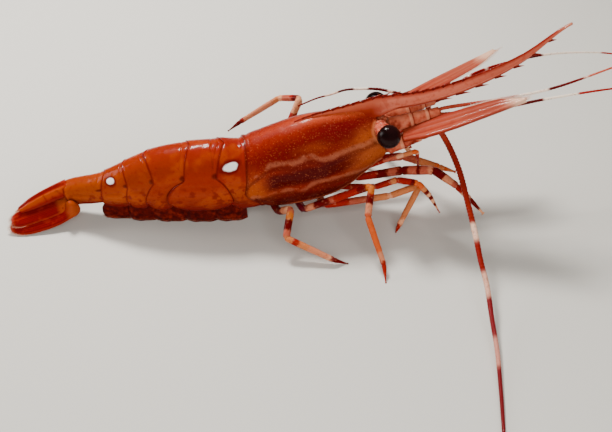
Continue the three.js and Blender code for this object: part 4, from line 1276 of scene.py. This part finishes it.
def swimmeret_fringe(number, side):
    """Bristles round the lower edge, lying back along it."""
    ring = paddle_ring(number, side, 0.86)
    middle = sum(ring, Vector()) / len(ring)
    points, aims = [], []
    for point in ring:
        out = (point - middle).normalized()
        points.append(Vector((point.x, point.y, point.z + 0.15)))
        aim = (out * 0.6 + Vector((-0.8, 0, -0.2))).normalized() * 1.3
        aim.z = max(aim.z, 0.12 - points[-1].z)
        aims.append(aim)
    values = {"Count": 54, "Thickness": 0.00005, "Shake": 0.15, "Seed": number, "Row": 0.2}
    return grow(aimed_line(points, aims), SPIKES, Material=FRINGE_PAINT, **values)


def swimmeret_paint():
    p = Paint("swimmeret_paint")
    # Deep reds: partly the paddles' own colour, partly painted shade, as they hang in the shade under the
    # belly.
    coat = p.ramp(p.noise(1.6, 4.0), {0.36: "4c0c09", 0.52: "64130c", 0.66: "842814"})
    # The upper part, tucked under the side plates, is darker still: painted shade.
    coat = p.tint(coat, "5c0806", p.step(p.along, 0.5, 0.3), 0.7)
    return p.finish(coat, rough=(0.3, 0.5), grain=0.4, depth=0.03, coat=0.4, sheer=0.2)


SWIMMERET_PAINT = swimmeret_paint()
FRINGE_PAINT = bristle_paint("fringe_paint", "8c2a1a", "d9a58a")
fringes = []
for name, side in SIDES.items():
    for number in PADDLE_RINGS:
        mesh, node = swimmeret_mesh(number, side), f"swimmeret_{number}_{name}"
        new_piece(f"paddle_{number}_{name}", mesh, SWIMMERET_PAINT, "flesh", node)
        fringes.append(swimmeret_fringe(number, side))
new_piece("paddle_fringe", joined("paddle_fringe", fringes), FRINGE_PAINT, "flesh")

# ---- Tail fan ------------------------------------------------------------------------------
# The telson, a keeled plate, lies over two ribbed blades on each side, which slope down from
# it like a roof. Pale bristles fringe the ends and edges of the blades.
TAIL_HINGE, _, _, _ = spine_frame(REACH[RINGS])
TAIL = (
    Matrix.Translation(TAIL_HINGE)
    @ Matrix.Rotation(math.radians(27), 4, "Z")
    @ Matrix.Rotation(math.radians(-13.5), 4, "Y")
)
TELSON_WIDTH = [3.5, 3.1, 2.8, 2.4, 1.6]
TELSON_TOP = [4.0, 4.1, 3.9, 3.2, 1.8]
TELSON_BOTTOM = [-0.1, -0.15, -0.1, 0.0, 0.3]
INNER_BLADE = {
    "root": Vector((-2.2, 4.0, -2.0)),
    "inward": 6,
    "length": 18.5,
    "widths": [2.4, 2.9, 3.0, 3.0, 2.4],
    "thick": 0.65,
    "behind": -0.08,
    "lobe": 0.2,
}
OUTER_BLADE = {
    "root": Vector((-0.8, 5.8, -4.05)),
    "inward": 7,
    "length": 21.3,
    "widths": [2.8, 3.9, 4.2, 3.8, 2.1],
    "thick": 0.7,
    "behind": -0.14,
    "lobe": 1.2,
}


def above_floor(rings):
    return [[Vector((p.x, p.y, max(p.z, FLOOR_GAP))) for p in ring] for ring in rings]


def telson_mesh():
    rings = []
    lengthwise, half_sides = even_shares(80), 20
    for t in lengthwise:
        wide, top, low = (along(knots, t) for knots in (TELSON_WIDTH, TELSON_TOP, TELSON_BOTTOM))
        x = -lerp(-1.6, 16.7, t)
        wide *= min(1.0, 0.35 + math.sqrt(max(1 - t, 0.0) * 9))
        ring = []
        for i in range(half_sides + 1):
            y = math.cos(math.pi * i / half_sides)
            high = (1 - abs(y) ** 2.2) ** 0.8
            keel = 0.24 * hump(y, 0.0, 0.16) + 0.16 * hump(abs(y), 0.5, 0.12)
            keel -= 0.26 * hump(abs(y), 0.27, 0.12)
            rise = lerp(low + 0.1 * (top - low), top, high) + keel * smooth((0.97 - abs(y)) / 0.2)
            ring.append(TAIL @ Vector((x, wide * y, rise)))
        for i in range(1, half_sides):
            y = -math.cos(math.pi * i / half_sides)
            dip = low + 0.1 * (top - low) * abs(y) ** 4
            ring.append(TAIL @ Vector((x, wide * y, dip)))
        rings.append(ring)
    return skin("telson_plate", above_floor(rings), lengthwise, even_shares(2 * half_sides))


TAIL_ROOT = {
    "wide": [3.0, 3.6, 5.2, 6.0, 4.6],
    "top": [1.0, 0.8, 0.2, -0.4, -0.9],
    "low": [-2.6, -2.9, -3.6, -3.6, -2.6],
}
ROOF = 29  # slope of the blades, in degrees
LEFT_REACH = 0.82  # length of the left blades, as a share of the right ones


def blade_frame(blade, side):
    turn, slope = math.radians(blade["inward"]), math.radians(ROOF)
    lift = math.sin(turn) * math.tan(slope)
    ahead = Vector((-math.cos(turn), -side * math.sin(turn), lift)).normalized()
    out = Vector((0, side * math.cos(slope), -math.sin(slope)))
    out = (out - out.dot(ahead) * ahead).normalized()
    up = out.cross(ahead).normalized()
    if up.z < 0:
        up = -up
    return mirrored(blade["root"], side), ahead, out, up


def blade_point(blade, side, t, a, b):
    root, ahead, out, up = blade_frame(blade, side)
    extent = blade["length"] * (LEFT_REACH if side == LEFT else 1)
    return TAIL @ (root + ahead * (extent * t) + out * a + up * b)


def blade_width(blade, t):
    """Half the blade's width, rounded off over its last sixth."""
    return along(blade["widths"], t) * math.sqrt(1 - 0.85 * (max(t - 0.84, 0) / 0.16) ** 2)


def blade_mesh(blade, side):
    """The ribbed plate; its root swells into a rounded lobe that reaches under the last ring."""
    lengthwise, across = even_shares(80), even_shares(30)
    root, lobe = blade["behind"], blade["lobe"]
    rings = []
    for length_share in lengthwise:
        t = lerp(root, 1.0, length_share)
        wide = blade_width(blade, t)
        if t < 0.1:
            wide *= math.sqrt(max(1 - ((0.1 - t) / (0.1 - root)) ** 2, 0.004)) ** 0.8
        thick = blade["thick"] * lerp(1, 0.6, max(t, 0)) * 0.5 + lobe * hump(t, -0.02, 0.1)
        top, bottom = [], []
        for share in across:
            edge = min(1.0, 3.2 * math.sqrt(max(share * (1 - share), 0.0)))
            ribs = 0.1 * hump(share, 0.45, 0.04) + 0.07 * hump(share, 0.16, 0.04)
            ribs += 0.07 * hump(share, 0.72, 0.04)
            ribs *= smooth(t / 0.2)
            fine = 0.035 * math.cos(22 * math.pi * share) * smooth((t - 0.3) / 0.3)
            dome = 0.3 * math.sin(math.pi * share)
            a = lerp(wide, -wide, share)
            knob = lobe * 2.2 * hump(t, -0.03, 0.1) * smooth(share * 1.6) * (side == RIGHT)
            top.append(blade_point(blade, side, t, a, (thick + ribs + fine + knob) * edge + dome))
            bottom.append(blade_point(blade, side, t, a, -thick * edge + dome * 0.6))
        rings.append(top + bottom[-2:0:-1])
    return skin("tail_blade", above_floor(rings), lengthwise, plate_shares(across))


def tail_root_mesh():
    """The soft joint from which the blades grow, between the last ring and the telson."""
    rings = []
    lengthwise, sides = even_shares(30), 40
    for t in lengthwise:
        x = lerp(2.5, -5.0, t)
        wide, top, low = (along(TAIL_ROOT[key], t) for key in ("wide", "top", "low"))
        ring = []
        for c, s in turns(sides):
            z = (top + low) / 2 + (top - low) / 2 * s
            sag = -0.12 * abs(c) ** 2 * wide
            ring.append(TAIL @ Vector((x, wide * c, z + sag)))
        rings.append(ring)
    return skin("tail_root", above_floor(rings), lengthwise, even_shares(sides))


def blade_fringe(blade, side, seed):
    """Bristles up the inner edge, round the end and a little way down the outer edge."""
    points, aims = [], []
    _, ahead, out, _ = blade_frame(blade, side)
    turn = TAIL.to_3x3()
    for k in range(50):
        if k < 20:
            t, a = lerp(0.45, 1.0, k / 19), -1.0
        elif k < 34:
            t, a = 1.0, lerp(-1.0, 1.0, (k - 20) / 13)
        else:
            t, a = lerp(1.0, 0.75, (k - 34) / 15), 1.0
        wide = blade_width(blade, t)
        point = blade_point(blade, side, t, a * wide * 0.97, 0.05)
        lean = turn @ (ahead + out * a * 0.45 * (1.2 - t))
        aim = lean.normalized() * lerp(0.6, 1.3, smooth((t - 0.45) / 0.5))
        point.z = max(point.z, 0.3)
        aim.z = max(aim.z, 0.1 - point.z)
        points.append(point)
        aims.append(aim)
    values = {"Count": 110, "Thickness": 0.00006, "Shake": 0.1, "Seed": seed, "Row": 0.6}
    return grow(aimed_line(points, aims), SPIKES, Material=TAIL_FRINGE_PAINT, **values)


TELSON_SHADES = {
    0.0: "76100c", 0.2: "8e1c10", 0.34: "b8561c", 0.55: "b04814", 0.72: "8e1e10", 1.0: "74120c",
}


def telson_paint():
    p = Paint("telson_paint")
    across = p.times(p.away(p.across, 0.25), 4.0)
    coat = p.ramp(p.shaken(across, 0.1, 2.0), TELSON_SHADES)
    coat = p.tint(coat, "a8340f", p.step(p.along, 0.2, 0.02), 0.6)
    coat = p.tint(coat, "7c120c", p.step(p.noise(2.0, 4.0), 0.54, 0.66), 0.5)
    return p.finish(coat, depth=0.02, coat=0.7, sheer=0.2)


BLADE_SHADES = {0.0: "9a3220", 0.12: "840f08", 0.4: "92140c", 0.5: "9a2214", 0.6: "7e0e09", 0.9: "8c180e"}


def blade_paint():
    p = Paint("blade_paint")
    coat = p.ramp(p.shaken(p.across, 0.05, 2.0), BLADE_SHADES)
    ribs = p.ripples(p.across, 66.0)
    coat = p.tint(coat, "5c0706", p.step(ribs, 0.4, 1.0), 0.5)
    coat = p.tint(coat, "a8501c", p.step(p.along, 0.24, 0.14), 0.85)
    coat = p.tint(coat, "b03c26", p.step(p.noise(3.0, 3.0), 0.55, 0.7), 0.4)
    edge = p.step(p.away(p.across, 0.5), 0.46, 0.5)
    coat = p.tint(coat, "c05c40", edge, 0.3)
    coat = p.tint(coat, "b85a42", p.step(p.along, 0.93, 1.0), 0.6)
    return p.finish(coat, depth=0.02, coat=0.7, sheer=0.2)


def tail_root_paint():
    p = Paint("tail_root_paint")
    coat = p.tint("a84a1c", "7c200e", p.step(p.noise(2.0, 3.0), 0.5, 0.64))
    return p.finish(coat, coat=0.4, sheer=0.3)


BLADE_PAINT = blade_paint()
TAIL_FRINGE_PAINT = bristle_paint("tail_fringe_paint", "a8402c", "e3b8a0")
new_piece("telson_plate", telson_mesh(), telson_paint(), "tail", "telson")
new_piece("tail_root", tail_root_mesh(), tail_root_paint(), "flesh")
tail_fringes = []
for name, side in SIDES.items():
    for label, blade in (("inner", INNER_BLADE), ("outer", OUTER_BLADE)):
        mesh, node = blade_mesh(blade, side), f"tail_blade_{label}_{name}"
        new_piece(f"tail_plate_{label}_{name}", mesh, BLADE_PAINT, "tail", node)
        tail_fringes.append(blade_fringe(blade, side, len(tail_fringes)))
new_piece("tail_fringe", joined("tail_fringe", tail_fringes), TAIL_FRINGE_PAINT, "tail")

# ---- Limbs ---------------------------------------------------------------------------------
# Each limb grows from the thorax and passes below the side plate. The walking legs swing out,
# rise to a high knee and come down on a dark claw. The front limbs are folded before the mouth.
# Lengths are banded in red and cream, and every joint is a pinched collar.
LEG = [1.3, 1.3, 1.3, 1.25, 1.2, 0.95, 0.75, 0.4]
CREAM, TAN, PALE, ROSE = "dca07c", "c47c50", "c88464", "b4604a"
RED, DARK, PLUM, OCHRE, ORANGE = "9c2418", "6c0f0e", "6a1426", "c0702c", "c8602a"
LIMBS = {
    "walking_leg_5_right": {
        "hip": 5,
        "outward": True,
        "radii": LEG,
        "joints": [(37.7, -18, 13), (36.4, -26.2, 7.2), (52.6, -30.4, 1.9), (57.4, -29.8, -0.2)],
        "bands": {
            2.0: DARK, 2.45: PALE, 2.75: CREAM, 3.0: ROSE, 3.15: OCHRE, 3.4: DARK, 3.78: ROSE, 4.0: TAN,
            4.15: RED, 4.26: TAN, 4.5: PALE, 4.9: CREAM, 4.98: PLUM, 5.0: DARK,
        },
    },
    "walking_leg_4_right": {
        "hip": 13.5,
        "outward": True,
        "radii": LEG,
        "joints": [(64.4, -13.6, 20.6), (63.3, -22, 14), (69.1, -33.2, 3), (69.8, -38.6, -0.2)],
        "bands": {
            1.0: PLUM, 2.08: PALE, 2.2: DARK, 2.42: ROSE, 2.5: RED, 2.85: DARK, 2.95: OCHRE, 3.3: RED,
            3.38: DARK, 3.62: PALE, 3.95: ROSE, 4.04: ORANGE, 4.75: PALE, 4.95: RED, 5.0: RED,
        },
    },
    "walking_leg_3_right": {
        "hip": 21,
        "outward": True,
        "radii": LEG,
        "joints": [(71.4, -6.6, 11), (81.6, -5.1, 15), (75, -12, 2), (74.2, -12.9, -0.2)],
        "bands": {
            1.0: ROSE, 2.0: RED, 2.4: ROSE, 2.75: TAN, 3.0: CREAM, 3.1: TAN, 3.9: ORANGE, 4.1: TAN,
            4.85: CREAM, 5.0: RED,
        },
    },
    "walking_leg_5_left": {
        "hip": 5,
        "outward": True,
        "radii": LEG,
        "joints": [(39.2, 26.6, 28), (31.4, 32.2, 24), (16.6, 36.2, 10), (12.3, 32.8, 8)],
        "bands": {
            1.0: DARK, 2.0: DARK, 2.6: RED, 2.85: CREAM, 3.1: DARK, 3.3: RED, 3.42: ROSE, 3.8: CREAM,
            3.95: TAN, 4.15: PALE, 4.9: RED, 5.0: DARK,
        },
    },
    "walking_leg_4_left": {
        "hip": 13.5,
        "outward": True,
        "radii": LEG,
        "joints": [(52, 24, 23), (54, 30, 16), (52, 38, 3), (51.4, 40, -0.2)],
        "bands": {
            2.0: CREAM, 2.65: DARK, 2.9: CREAM, 3.4: DARK, 3.8: CREAM, 4.3: TAN, 4.9: CREAM, 5.1: DARK,
            6.0: DARK,
        },
    },
    "walking_leg_3_left": {
        "hip": 21,
        "outward": True,
        "radii": LEG,
        "joints": [(66, 26, 24), (70, 31, 17), (67, 39, 3), (66.2, 41, -0.2)],
        "bands": {
            2.0: CREAM, 2.6: RED, 2.85: CREAM, 3.5: RED, 3.8: CREAM, 4.4: TAN, 4.9: CREAM, 5.1: DARK,
            6.0: DARK,
        },
    },
    "front_leg_2_right": {
        "hip": 29,
        "radii": [1.1, 1.1, 1.1, 1.15, 1.15, 0.95, 0.35],
        "joints": [
            (66.1, -7, 15), (73.1, -9.1, 20), (80.1, -10.4, 20), (84.6, -10.9, 15), (88.3, -13, 9.6),
        ],
        "bands": {
            1.0: RED, 1.7: ROSE, 2.1: RED, 2.8: TAN, 3.0: RED, 3.7: DARK, 3.85: ORANGE, 4.35: TAN,
            4.6: DARK, 4.8: CREAM, 5.0: DARK, 5.2: CREAM, 5.4: DARK, 5.6: CREAM, 5.8: RED,
        },
    },
    "front_leg_2_left": {
        "hip": 29,
        "radii": [1.1, 1.1, 1.1, 1.1, 0.9, 0.35],
        "joints": [(64, 11, 13), (76, 17, 18), (80, 19, 11), (82, 19, 6)],
        "bands": {
            1.0: RED, 2.0: CREAM, 2.4: RED, 2.8: CREAM, 3.1: RED, 3.5: CREAM, 4.0: RED, 4.4: CREAM,
            5.0: CREAM,
        },
    },
    "front_leg_1_right": {
        "hip": 40,
        "radii": [0.8, 0.8, 0.8, 0.9, 0.6],
        "joints": [(70.4, -1.6, 23), (79.8, -0.4, 26), (81, 1.6, 18.5)],
        "bands": {1.0: RED, 1.8: ROSE, 2.3: CREAM, 2.55: TAN, 2.85: ORANGE, 3.05: CREAM, 3.15: RED},
    },
    "front_leg_1_left": {
        "hip": 40,
        "radii": [0.8, 0.8, 0.8, 0.9, 0.6],
        "joints": [(69, 8, 23), (77, 11, 25), (79, 12, 18.5)],
        "bands": {1.0: TAN, 2.0: TAN, 2.5: CREAM, 2.9: OCHRE, 3.2: RED, 4.0: RED},
    },
    "jaw_leg_right": {
        "hip": 35,
        "radii": [1.3, 1.3, 1.6, 1.6, 1.2, 0.95, 0.7],
        "joints": [
            (75.2, -2.6, 19.2), (85.8, -4.2, 21), (93.4, -10, 19), (98.1, -11.8, 15), (103.1, -13.2, 10),
        ],
        "bands": {
            1.0: RED, 1.5: DARK, 1.75: ROSE, 1.95: DARK, 2.2: ROSE, 2.5: DARK, 2.62: ROSE, 2.85: PALE,
            3.0: DARK, 3.5: PALE, 3.85: ROSE, 4.0: RED, 4.4: CREAM, 4.75: PALE, 4.95: DARK, 5.7: CREAM,
        },
    },
    "jaw_leg_left": {
        "hip": 35,
        "radii": [1.3, 1.3, 1.5, 1.2, 0.7],
        "joints": [(76, 7, 18.2), (88.8, 4.3, 16), (94.3, 1.5, 16.2)],
        "bands": {
            1.0: RED, 1.9: ROSE, 2.4: TAN, 2.9: ORANGE, 3.05: TAN, 3.4: ORANGE, 3.6: TAN, 3.9: ROSE,
        },
    },
}


def limb_path(limb, side):
    hip, radii = limb["hip"], limb["radii"]
    wide = along(CARAPACE_WIDTH, hip / CARAPACE_LENGTH)
    deep = along(CARAPACE_DEPTH, hip / CARAPACE_LENGTH)
    across = side * (wide - THORAX_INSET) * 0.6
    below = -deep - radii[0] - 0.5
    path = [
        HEAD @ Vector((hip, across, -deep * THORAX_FLOOR - 0.1)),
        HEAD @ Vector((hip + 1.2, across * 1.2, below)),
    ]
    if limb.get("outward"):
        path.append(HEAD @ Vector((hip + 2.5, side * (wide * 0.84 + radii[0] + 0.9), below)))
    return path + [Vector(joint) for joint in limb["joints"]]


def radius_at(radii, joint, count):
    """Radii are listed for the hip, for each bend, and for the tip."""
    inner = radii[1:-1]
    marks = [radii[0], *inner[: count - 2], radii[-1]]
    i = min(int(joint), count - 2)
    return lerp(marks[i], marks[i + 1], joint - i)


def limb_mesh(limb, side):
    """Straight lengths with each joint turned in a short arc. Its UV runs by joint number."""
    path = limb_path(limb, side)
    radii = limb["radii"]
    count = len(path)
    line, numbers = [], []
    for i in range(count - 1):
        here, there = path[i], path[i + 1]
        far = (there - here).length
        steps = max(8, int(far / 0.45))
        for k in range(steps):
            f = k / steps
            at = here.lerp(there, f)
            bend = min(radii[min(i + 1, len(radii) - 1)] * 1.3, far * 0.4)
            if i > 0 and f * far < bend:
                q = (1 - f * far / bend) * 0.5
                back = path[i - 1] - here
                start = here + back.normalized() * min(bend, back.length * 0.4)
                end = here + (there - here).normalized() * bend
                at = start.lerp(here, 1 - q).lerp(here.lerp(end, 1 - q), 1 - q)
            if i < count - 2 and (1 - f) * far < bend:
                q = 0.5 - (1 - f) * far / bend * 0.5
                start = there + (here - there).normalized() * bend
                onward = path[i + 2] - there
                end = there + onward.normalized() * min(bend, onward.length * 0.4)
                at = start.lerp(there, q).lerp(there.lerp(end, q), q)
            line.append(at)
            numbers.append(i + f)
    line.append(path[-1])
    numbers.append(count - 1.0)
    stations = []
    for at, number in zip(line, numbers):
        radius = radius_at(radii, number, count)
        f = number - int(number)
        shape = 1.0 + 0.1 * math.sin(math.pi * f)
        if number > 0.9:
            near = 0.5
            if number < count - 1:
                near = min(f, 1 - f) if number < count - 1.5 else f
            shape += 0.08 * hump(f, 0.93, 0.05) - 0.2 * hump(near, 0.0, 0.018)
        if number > count - 2:
            shape *= lerp(1.0, 0.45, f)
        stations.append((at, radius * shape, 0.9))
    rings = above_floor(tube(stations, 16, Vector((0.3, 0.2, 1)).normalized(), grain=0.05))
    shares = [n / (count - 1) for n in numbers]
    return skin("limb", rings, shares, even_shares(16)), line, shares


def banded(bands, length, soft):
    """Ramp stops that hold each band's colour from its own mark to just before the next."""
    marks = sorted(bands.items())
    stops = {}
    for (start, code), (end, _) in zip(marks, marks[1:] + [(length, "")]):
        stops[start / length] = code
        if end - start > 2 * soft:
            stops[(end - soft) / length] = code
    return stops


def limb_paint(name, limb, count):
    p = Paint(f"{name}_paint")
    place = p.shaken(p.shaken(p.along, 0.03, 1.2), 0.02, 4.0)
    coat = p.ramp(place, banded(limb["bands"], count - 1, 0.05))
    coat = p.tint(coat, "7a1a12", p.step(p.noise(0.9, 4.0), 0.56, 0.68), 0.3)
    coat = p.tint(coat, "e0a888", p.step(p.noise(1.3, 3.0), 0.58, 0.7), 0.25)
    return p.finish(coat, rough=(0.28, 0.45), grain=0.4, depth=0.015, coat=0.45, sheer=0.2)


def limb_hairs(line, shares, seed):
    """Short bristles along the last lengths of a limb."""
    points, aims = [], []
    for k in range(2, len(line) - 1):
        if shares[k] < 0.45:
            continue
        way = (line[k + 1] - line[k - 1]).normalized()
        out = way.cross(Vector((1, 0, 0))).normalized() * (1 if len(points) % 2 else -1)
        points.append(line[k] + out * 0.3)
        aim = (way * 0.9 + out * 0.6).normalized() * 1.5
        aim.z = max(aim.z, 0.1 - line[k].z)
        aims.append(aim)
    values = {"Count": 40, "Thickness": 0.00004, "Shake": 0.35, "Seed": seed, "Row": 0.8}
    return grow(aimed_line(points, aims), SPIKES, Material=HAIR_PAINT, **values)


HAIR_PAINT = bristle_paint("hair_paint", "a85a40", "e6c4ac")
hairs = []
for name, limb in LIMBS.items():
    side = RIGHT if name.endswith("right") else LEFT
    mesh, line, shares = limb_mesh(limb, side)
    paint = limb_paint(name, limb, len(limb_path(limb, side)))
    new_piece(f"{name}_jointed", mesh, paint, "limb", name)
    hairs.append(limb_hairs(line, shares, len(hairs)))
new_piece("limb_hairs", joined("limb_hairs", hairs), HAIR_PAINT, "limb")

# ---- Whips ---------------------------------------------------------------------------------
# Two thin whips on each inner stem and one long antenna on each outer stem, all ringed, all
# tapering, dark red with cream bands.


def whip_tree():
    """A ringed tube along a line, as thick as the line's attribute thick."""
    tree = new_tree("whip", {"Rings": "Float", "Samples": "Int", "Material": "Material"})
    given = wire(tree, "NodeGroupInput").outputs
    line = wire(tree, "GeometryNodeMeshToCurve", {0: given["Geometry"]}).outputs[0]
    sampled = {"Curve": line, "Count": given["Samples"]}
    line = wire(tree, "GeometryNodeResampleCurve", sampled).outputs[0]
    share = wire(tree, "GeometryNodeSplineParameter").outputs["Factor"]
    line = stored(tree, line, "share", share)
    wave = maths(tree, "FRACT", maths(tree, "MULTIPLY", share, given["Rings"]))
    flare = maths(tree, "MULTIPLY_ADD", maths(tree, "POWER", wave, 2.0), 0.2, 0.88)
    size = maths(tree, "MULTIPLY", named(tree, "thick"), flare)
    circle = {"Resolution": 10, "Radius": 1.0}
    circle = wire(tree, "GeometryNodeCurvePrimitiveCircle", circle, mode="RADIUS").outputs[0]
    turn = wire(tree, "GeometryNodeSplineParameter").outputs["Factor"]
    circle = stored(tree, circle, "round", turn)
    swept = {"Curve": line, "Profile Curve": circle, "Scale": size, "Fill Caps": True}
    tube_mesh = wire(tree, "GeometryNodeCurveToMesh", swept).outputs[0]
    place = {0: named(tree, "share"), 1: named(tree, "round")}
    shell = wire(tree, "ShaderNodeCombineXYZ", place).outputs[0]
    tube_mesh = stored(tree, tube_mesh, "shell", shell, "FLOAT2", "CORNER")
    return finished(tree, tube_mesh, given["Material"])


WHIP_TREE = whip_tree()
WHIP_RADII = [0.7, 0.62, 0.5, 0.38, 0.28]
LITTLE_WHIPS = {
    "little_whip_upper_right": {
        "points": [
            (67.6, -2.9, 6.0), (69.2, -2.6, 6.2), (88.1, -7.6, 7.9), (104.7, -11, 9.7),
            (124.6, -12.5, 13.2), (136, -13.2, 15.6),
        ],
        "radii": WHIP_RADII,
        "bands": {
            0.0: "b0523c", 0.37: "a03a2c", 0.4: "f0dfd0", 0.525: "f0dfd0", 0.54: "5c0d10", 0.69: "7a1414",
            0.71: "e8c8b8", 0.73: "c8705c", 1.0: "a03024",
        },
    },
    "little_whip_lower_right": {
        "points": [
            (67.6, -3.7, 5.2), (69.2, -3.8, 4.8), (87.1, -11, 7), (101.9, -15, 9.1), (122, -19, 9.9),
            (134, -20.5, 8.8),
        ],
        "radii": WHIP_RADII,
        "bands": {
            0.0: "b0523c", 0.4: "a03a2c", 0.42: "5c0d10", 0.505: "5c0d10", 0.52: "f0dfd0",
            0.665: "f0dfd0", 0.68: "a02a20", 1.0: "8c2018",
        },
    },
    "little_whip_upper_left": {
        "points": [
            (67.6, 2.9, 6.0), (69.2, 2.4, 6.2), (83.3, 8, 9.1), (103.9, 10.5, 8.7), (116.6, 12, 6.1),
            (130.7, 13, 1.6), (137, 13.6, -1.2),
        ],
        "radii": WHIP_RADII,
        "bands": {
            0.0: "a8402e", 0.2: "8c1c18", 0.218: "e8d0c0", 0.235: "8c1c18", 0.3: "8c1c18",
            0.312: "e8d0c0", 0.325: "8c1c18", 0.44: "8c1c18", 0.455: "f0dfd0", 0.505: "f0dfd0",
            0.52: "5c0d10", 0.59: "5c0d10", 0.605: "f0dfd0", 0.9: "f0dfd0", 0.92: "a03024",
        },
    },
    "little_whip_lower_left": {
        "points": [
            (67.6, 3.6, 5.4), (69.2, 3.9, 5.4), (72.2, 5.4, 6.6), (70.6, 6.9, 7.4), (66, 6.8, 7.4),
            (60, 6.2, 8.8), (55.6, 6.8, 10.8), (51, 9.8, 11.4), (46, 12, 11.6), (40, 14, 11.5),
            (35, 15.3, 10.2), (30, 16, 9.6), (23, 17, 7.6),
        ],
        "radii": [0.6, 0.55, 0.5, 0.38, 0.28],
        "bands": {
            0.0: "a8402e", 0.3: "5c0d10", 0.4: "5c0d10", 0.41: "e8c8b4", 0.43: "e8c8b4", 0.44: "5c0d10",
            0.55: "5c0d10", 0.565: "f0dfd0", 0.635: "f0dfd0", 0.65: "5c0d10", 0.735: "5c0d10",
            0.745: "e8c8b4", 0.815: "e8c8b4", 0.83: "6e1412", 1.0: "7a1a14",
        },
    },
}
LONG_RADII = [1.1, 1.0, 0.85, 0.65, 0.4]
ANTENNA_ROOT = Vector((67.2, 8.3, 1.1))
LONG_WHIPS = {
    "right": [
        (89.9, -3.1, 30.5), (93.3, -9.6, 25.5), (95.8, -18.6, 20), (98.1, -28.8, 14.5), (99.6, -38, 10.2),
        (101, -45.7, 7.4), (101.7, -57.1, 4.2), (102.2, -68.6, 2.2), (101.8, -81.4, 1.0), (101, -94, 0.6),
        (100.1, -104.5, 0.6), (98.1, -120.6, 0.5),
    ],
    "left": [
        (84, 17, 27), (78, 21, 20), (69, 24, 11), (58, 28, 4), (44, 30, 1.0), (25, 28, 0.6), (5, 23, 0.5),
        (-18, 13.5, 0.4),
    ],
}
LONG_BANDS = {
    0.0: "a84838", 0.05: "8e2a20", 0.25: "8e2a20", 0.262: "e6c0aa", 0.298: "e6c0aa", 0.31: "8c2420",
    0.38: "8c2420", 0.395: "d9aa96", 0.45: "d9aa96", 0.465: "84262c", 0.56: "84262c", 0.575: "c98f80",
    0.645: "c98f80", 0.66: "7c2028", 1.0: "741a20",
}


WHIP_STEPS = 160
RING_SPACING = 1.1


def threaded(knots):
    """Points spread evenly along a smooth line through the knots."""
    fine = 24
    line = [through(knots, k / fine) for k in range((len(knots) - 1) * fine + 1)]
    far = [0.0]
    for a, b in zip(line, line[1:]):
        far.append(far[-1] + (b - a).length)
    points = []
    i = 0
    for t in even_shares(WHIP_STEPS):
        want = far[-1] * t
        while i < len(line) - 2 and far[i + 1] < want:
            i += 1
        points.append(line[i].lerp(line[i + 1], (want - far[i]) / (far[i + 1] - far[i])))
    return points


def whip_mesh(points, radii, material):
    line = threaded(points)
    mesh = bpy.data.meshes.new("whip_line")
    mesh.from_pydata([metres(p) for p in line], [(i, i + 1) for i in range(WHIP_STEPS)], [])
    thick = mesh.attributes.new("thick", "FLOAT", "POINT")
    for item, point, t in zip(thick.data, line, even_shares(WHIP_STEPS)):
        item.value = min(along(radii, t), point.z - FLOOR_GAP) * MM
    length = sum((b - a).length for a, b in zip(line, line[1:]))
    values = {"Rings": length / RING_SPACING, "Samples": int(length * 3.6), "Material": material}
    return grow(mesh, WHIP_TREE, **values)


def whip_paint(name, bands):
    p = Paint(name)
    coat = p.ramp(p.shaken(p.along, 0.012, 2.0), bands)
    coat = p.tint(coat, "6e1a16", p.step(p.noise(0.7, 3.0), 0.54, 0.66), 0.35)
    return p.finish(coat, rough=(0.3, 0.45), grain=0.3, depth=0.006, coat=0.4, sheer=0.2)


for name, whip in LITTLE_WHIPS.items():
    points = [HEAD @ Vector(point) for point in whip["points"]]
    paint = whip_paint(f"{name}_paint", whip["bands"])
    new_piece(f"{name}_ringed", whip_mesh(points, whip["radii"], paint), paint, "feeler", name)
LONG_PAINT = whip_paint("antenna_paint", LONG_BANDS)
for name, side in SIDES.items():
    points = [HEAD @ mirrored(ANTENNA_ROOT, side)] + [Vector(point) for point in LONG_WHIPS[name]]
    mesh = whip_mesh(points, LONG_RADII, LONG_PAINT)
    nodes = [f"antenna_whip_{part}_{name}" for part in (1, 2, 3)]
    new_piece(f"antenna_{name}_ringed", mesh, LONG_PAINT, "feeler", *nodes)
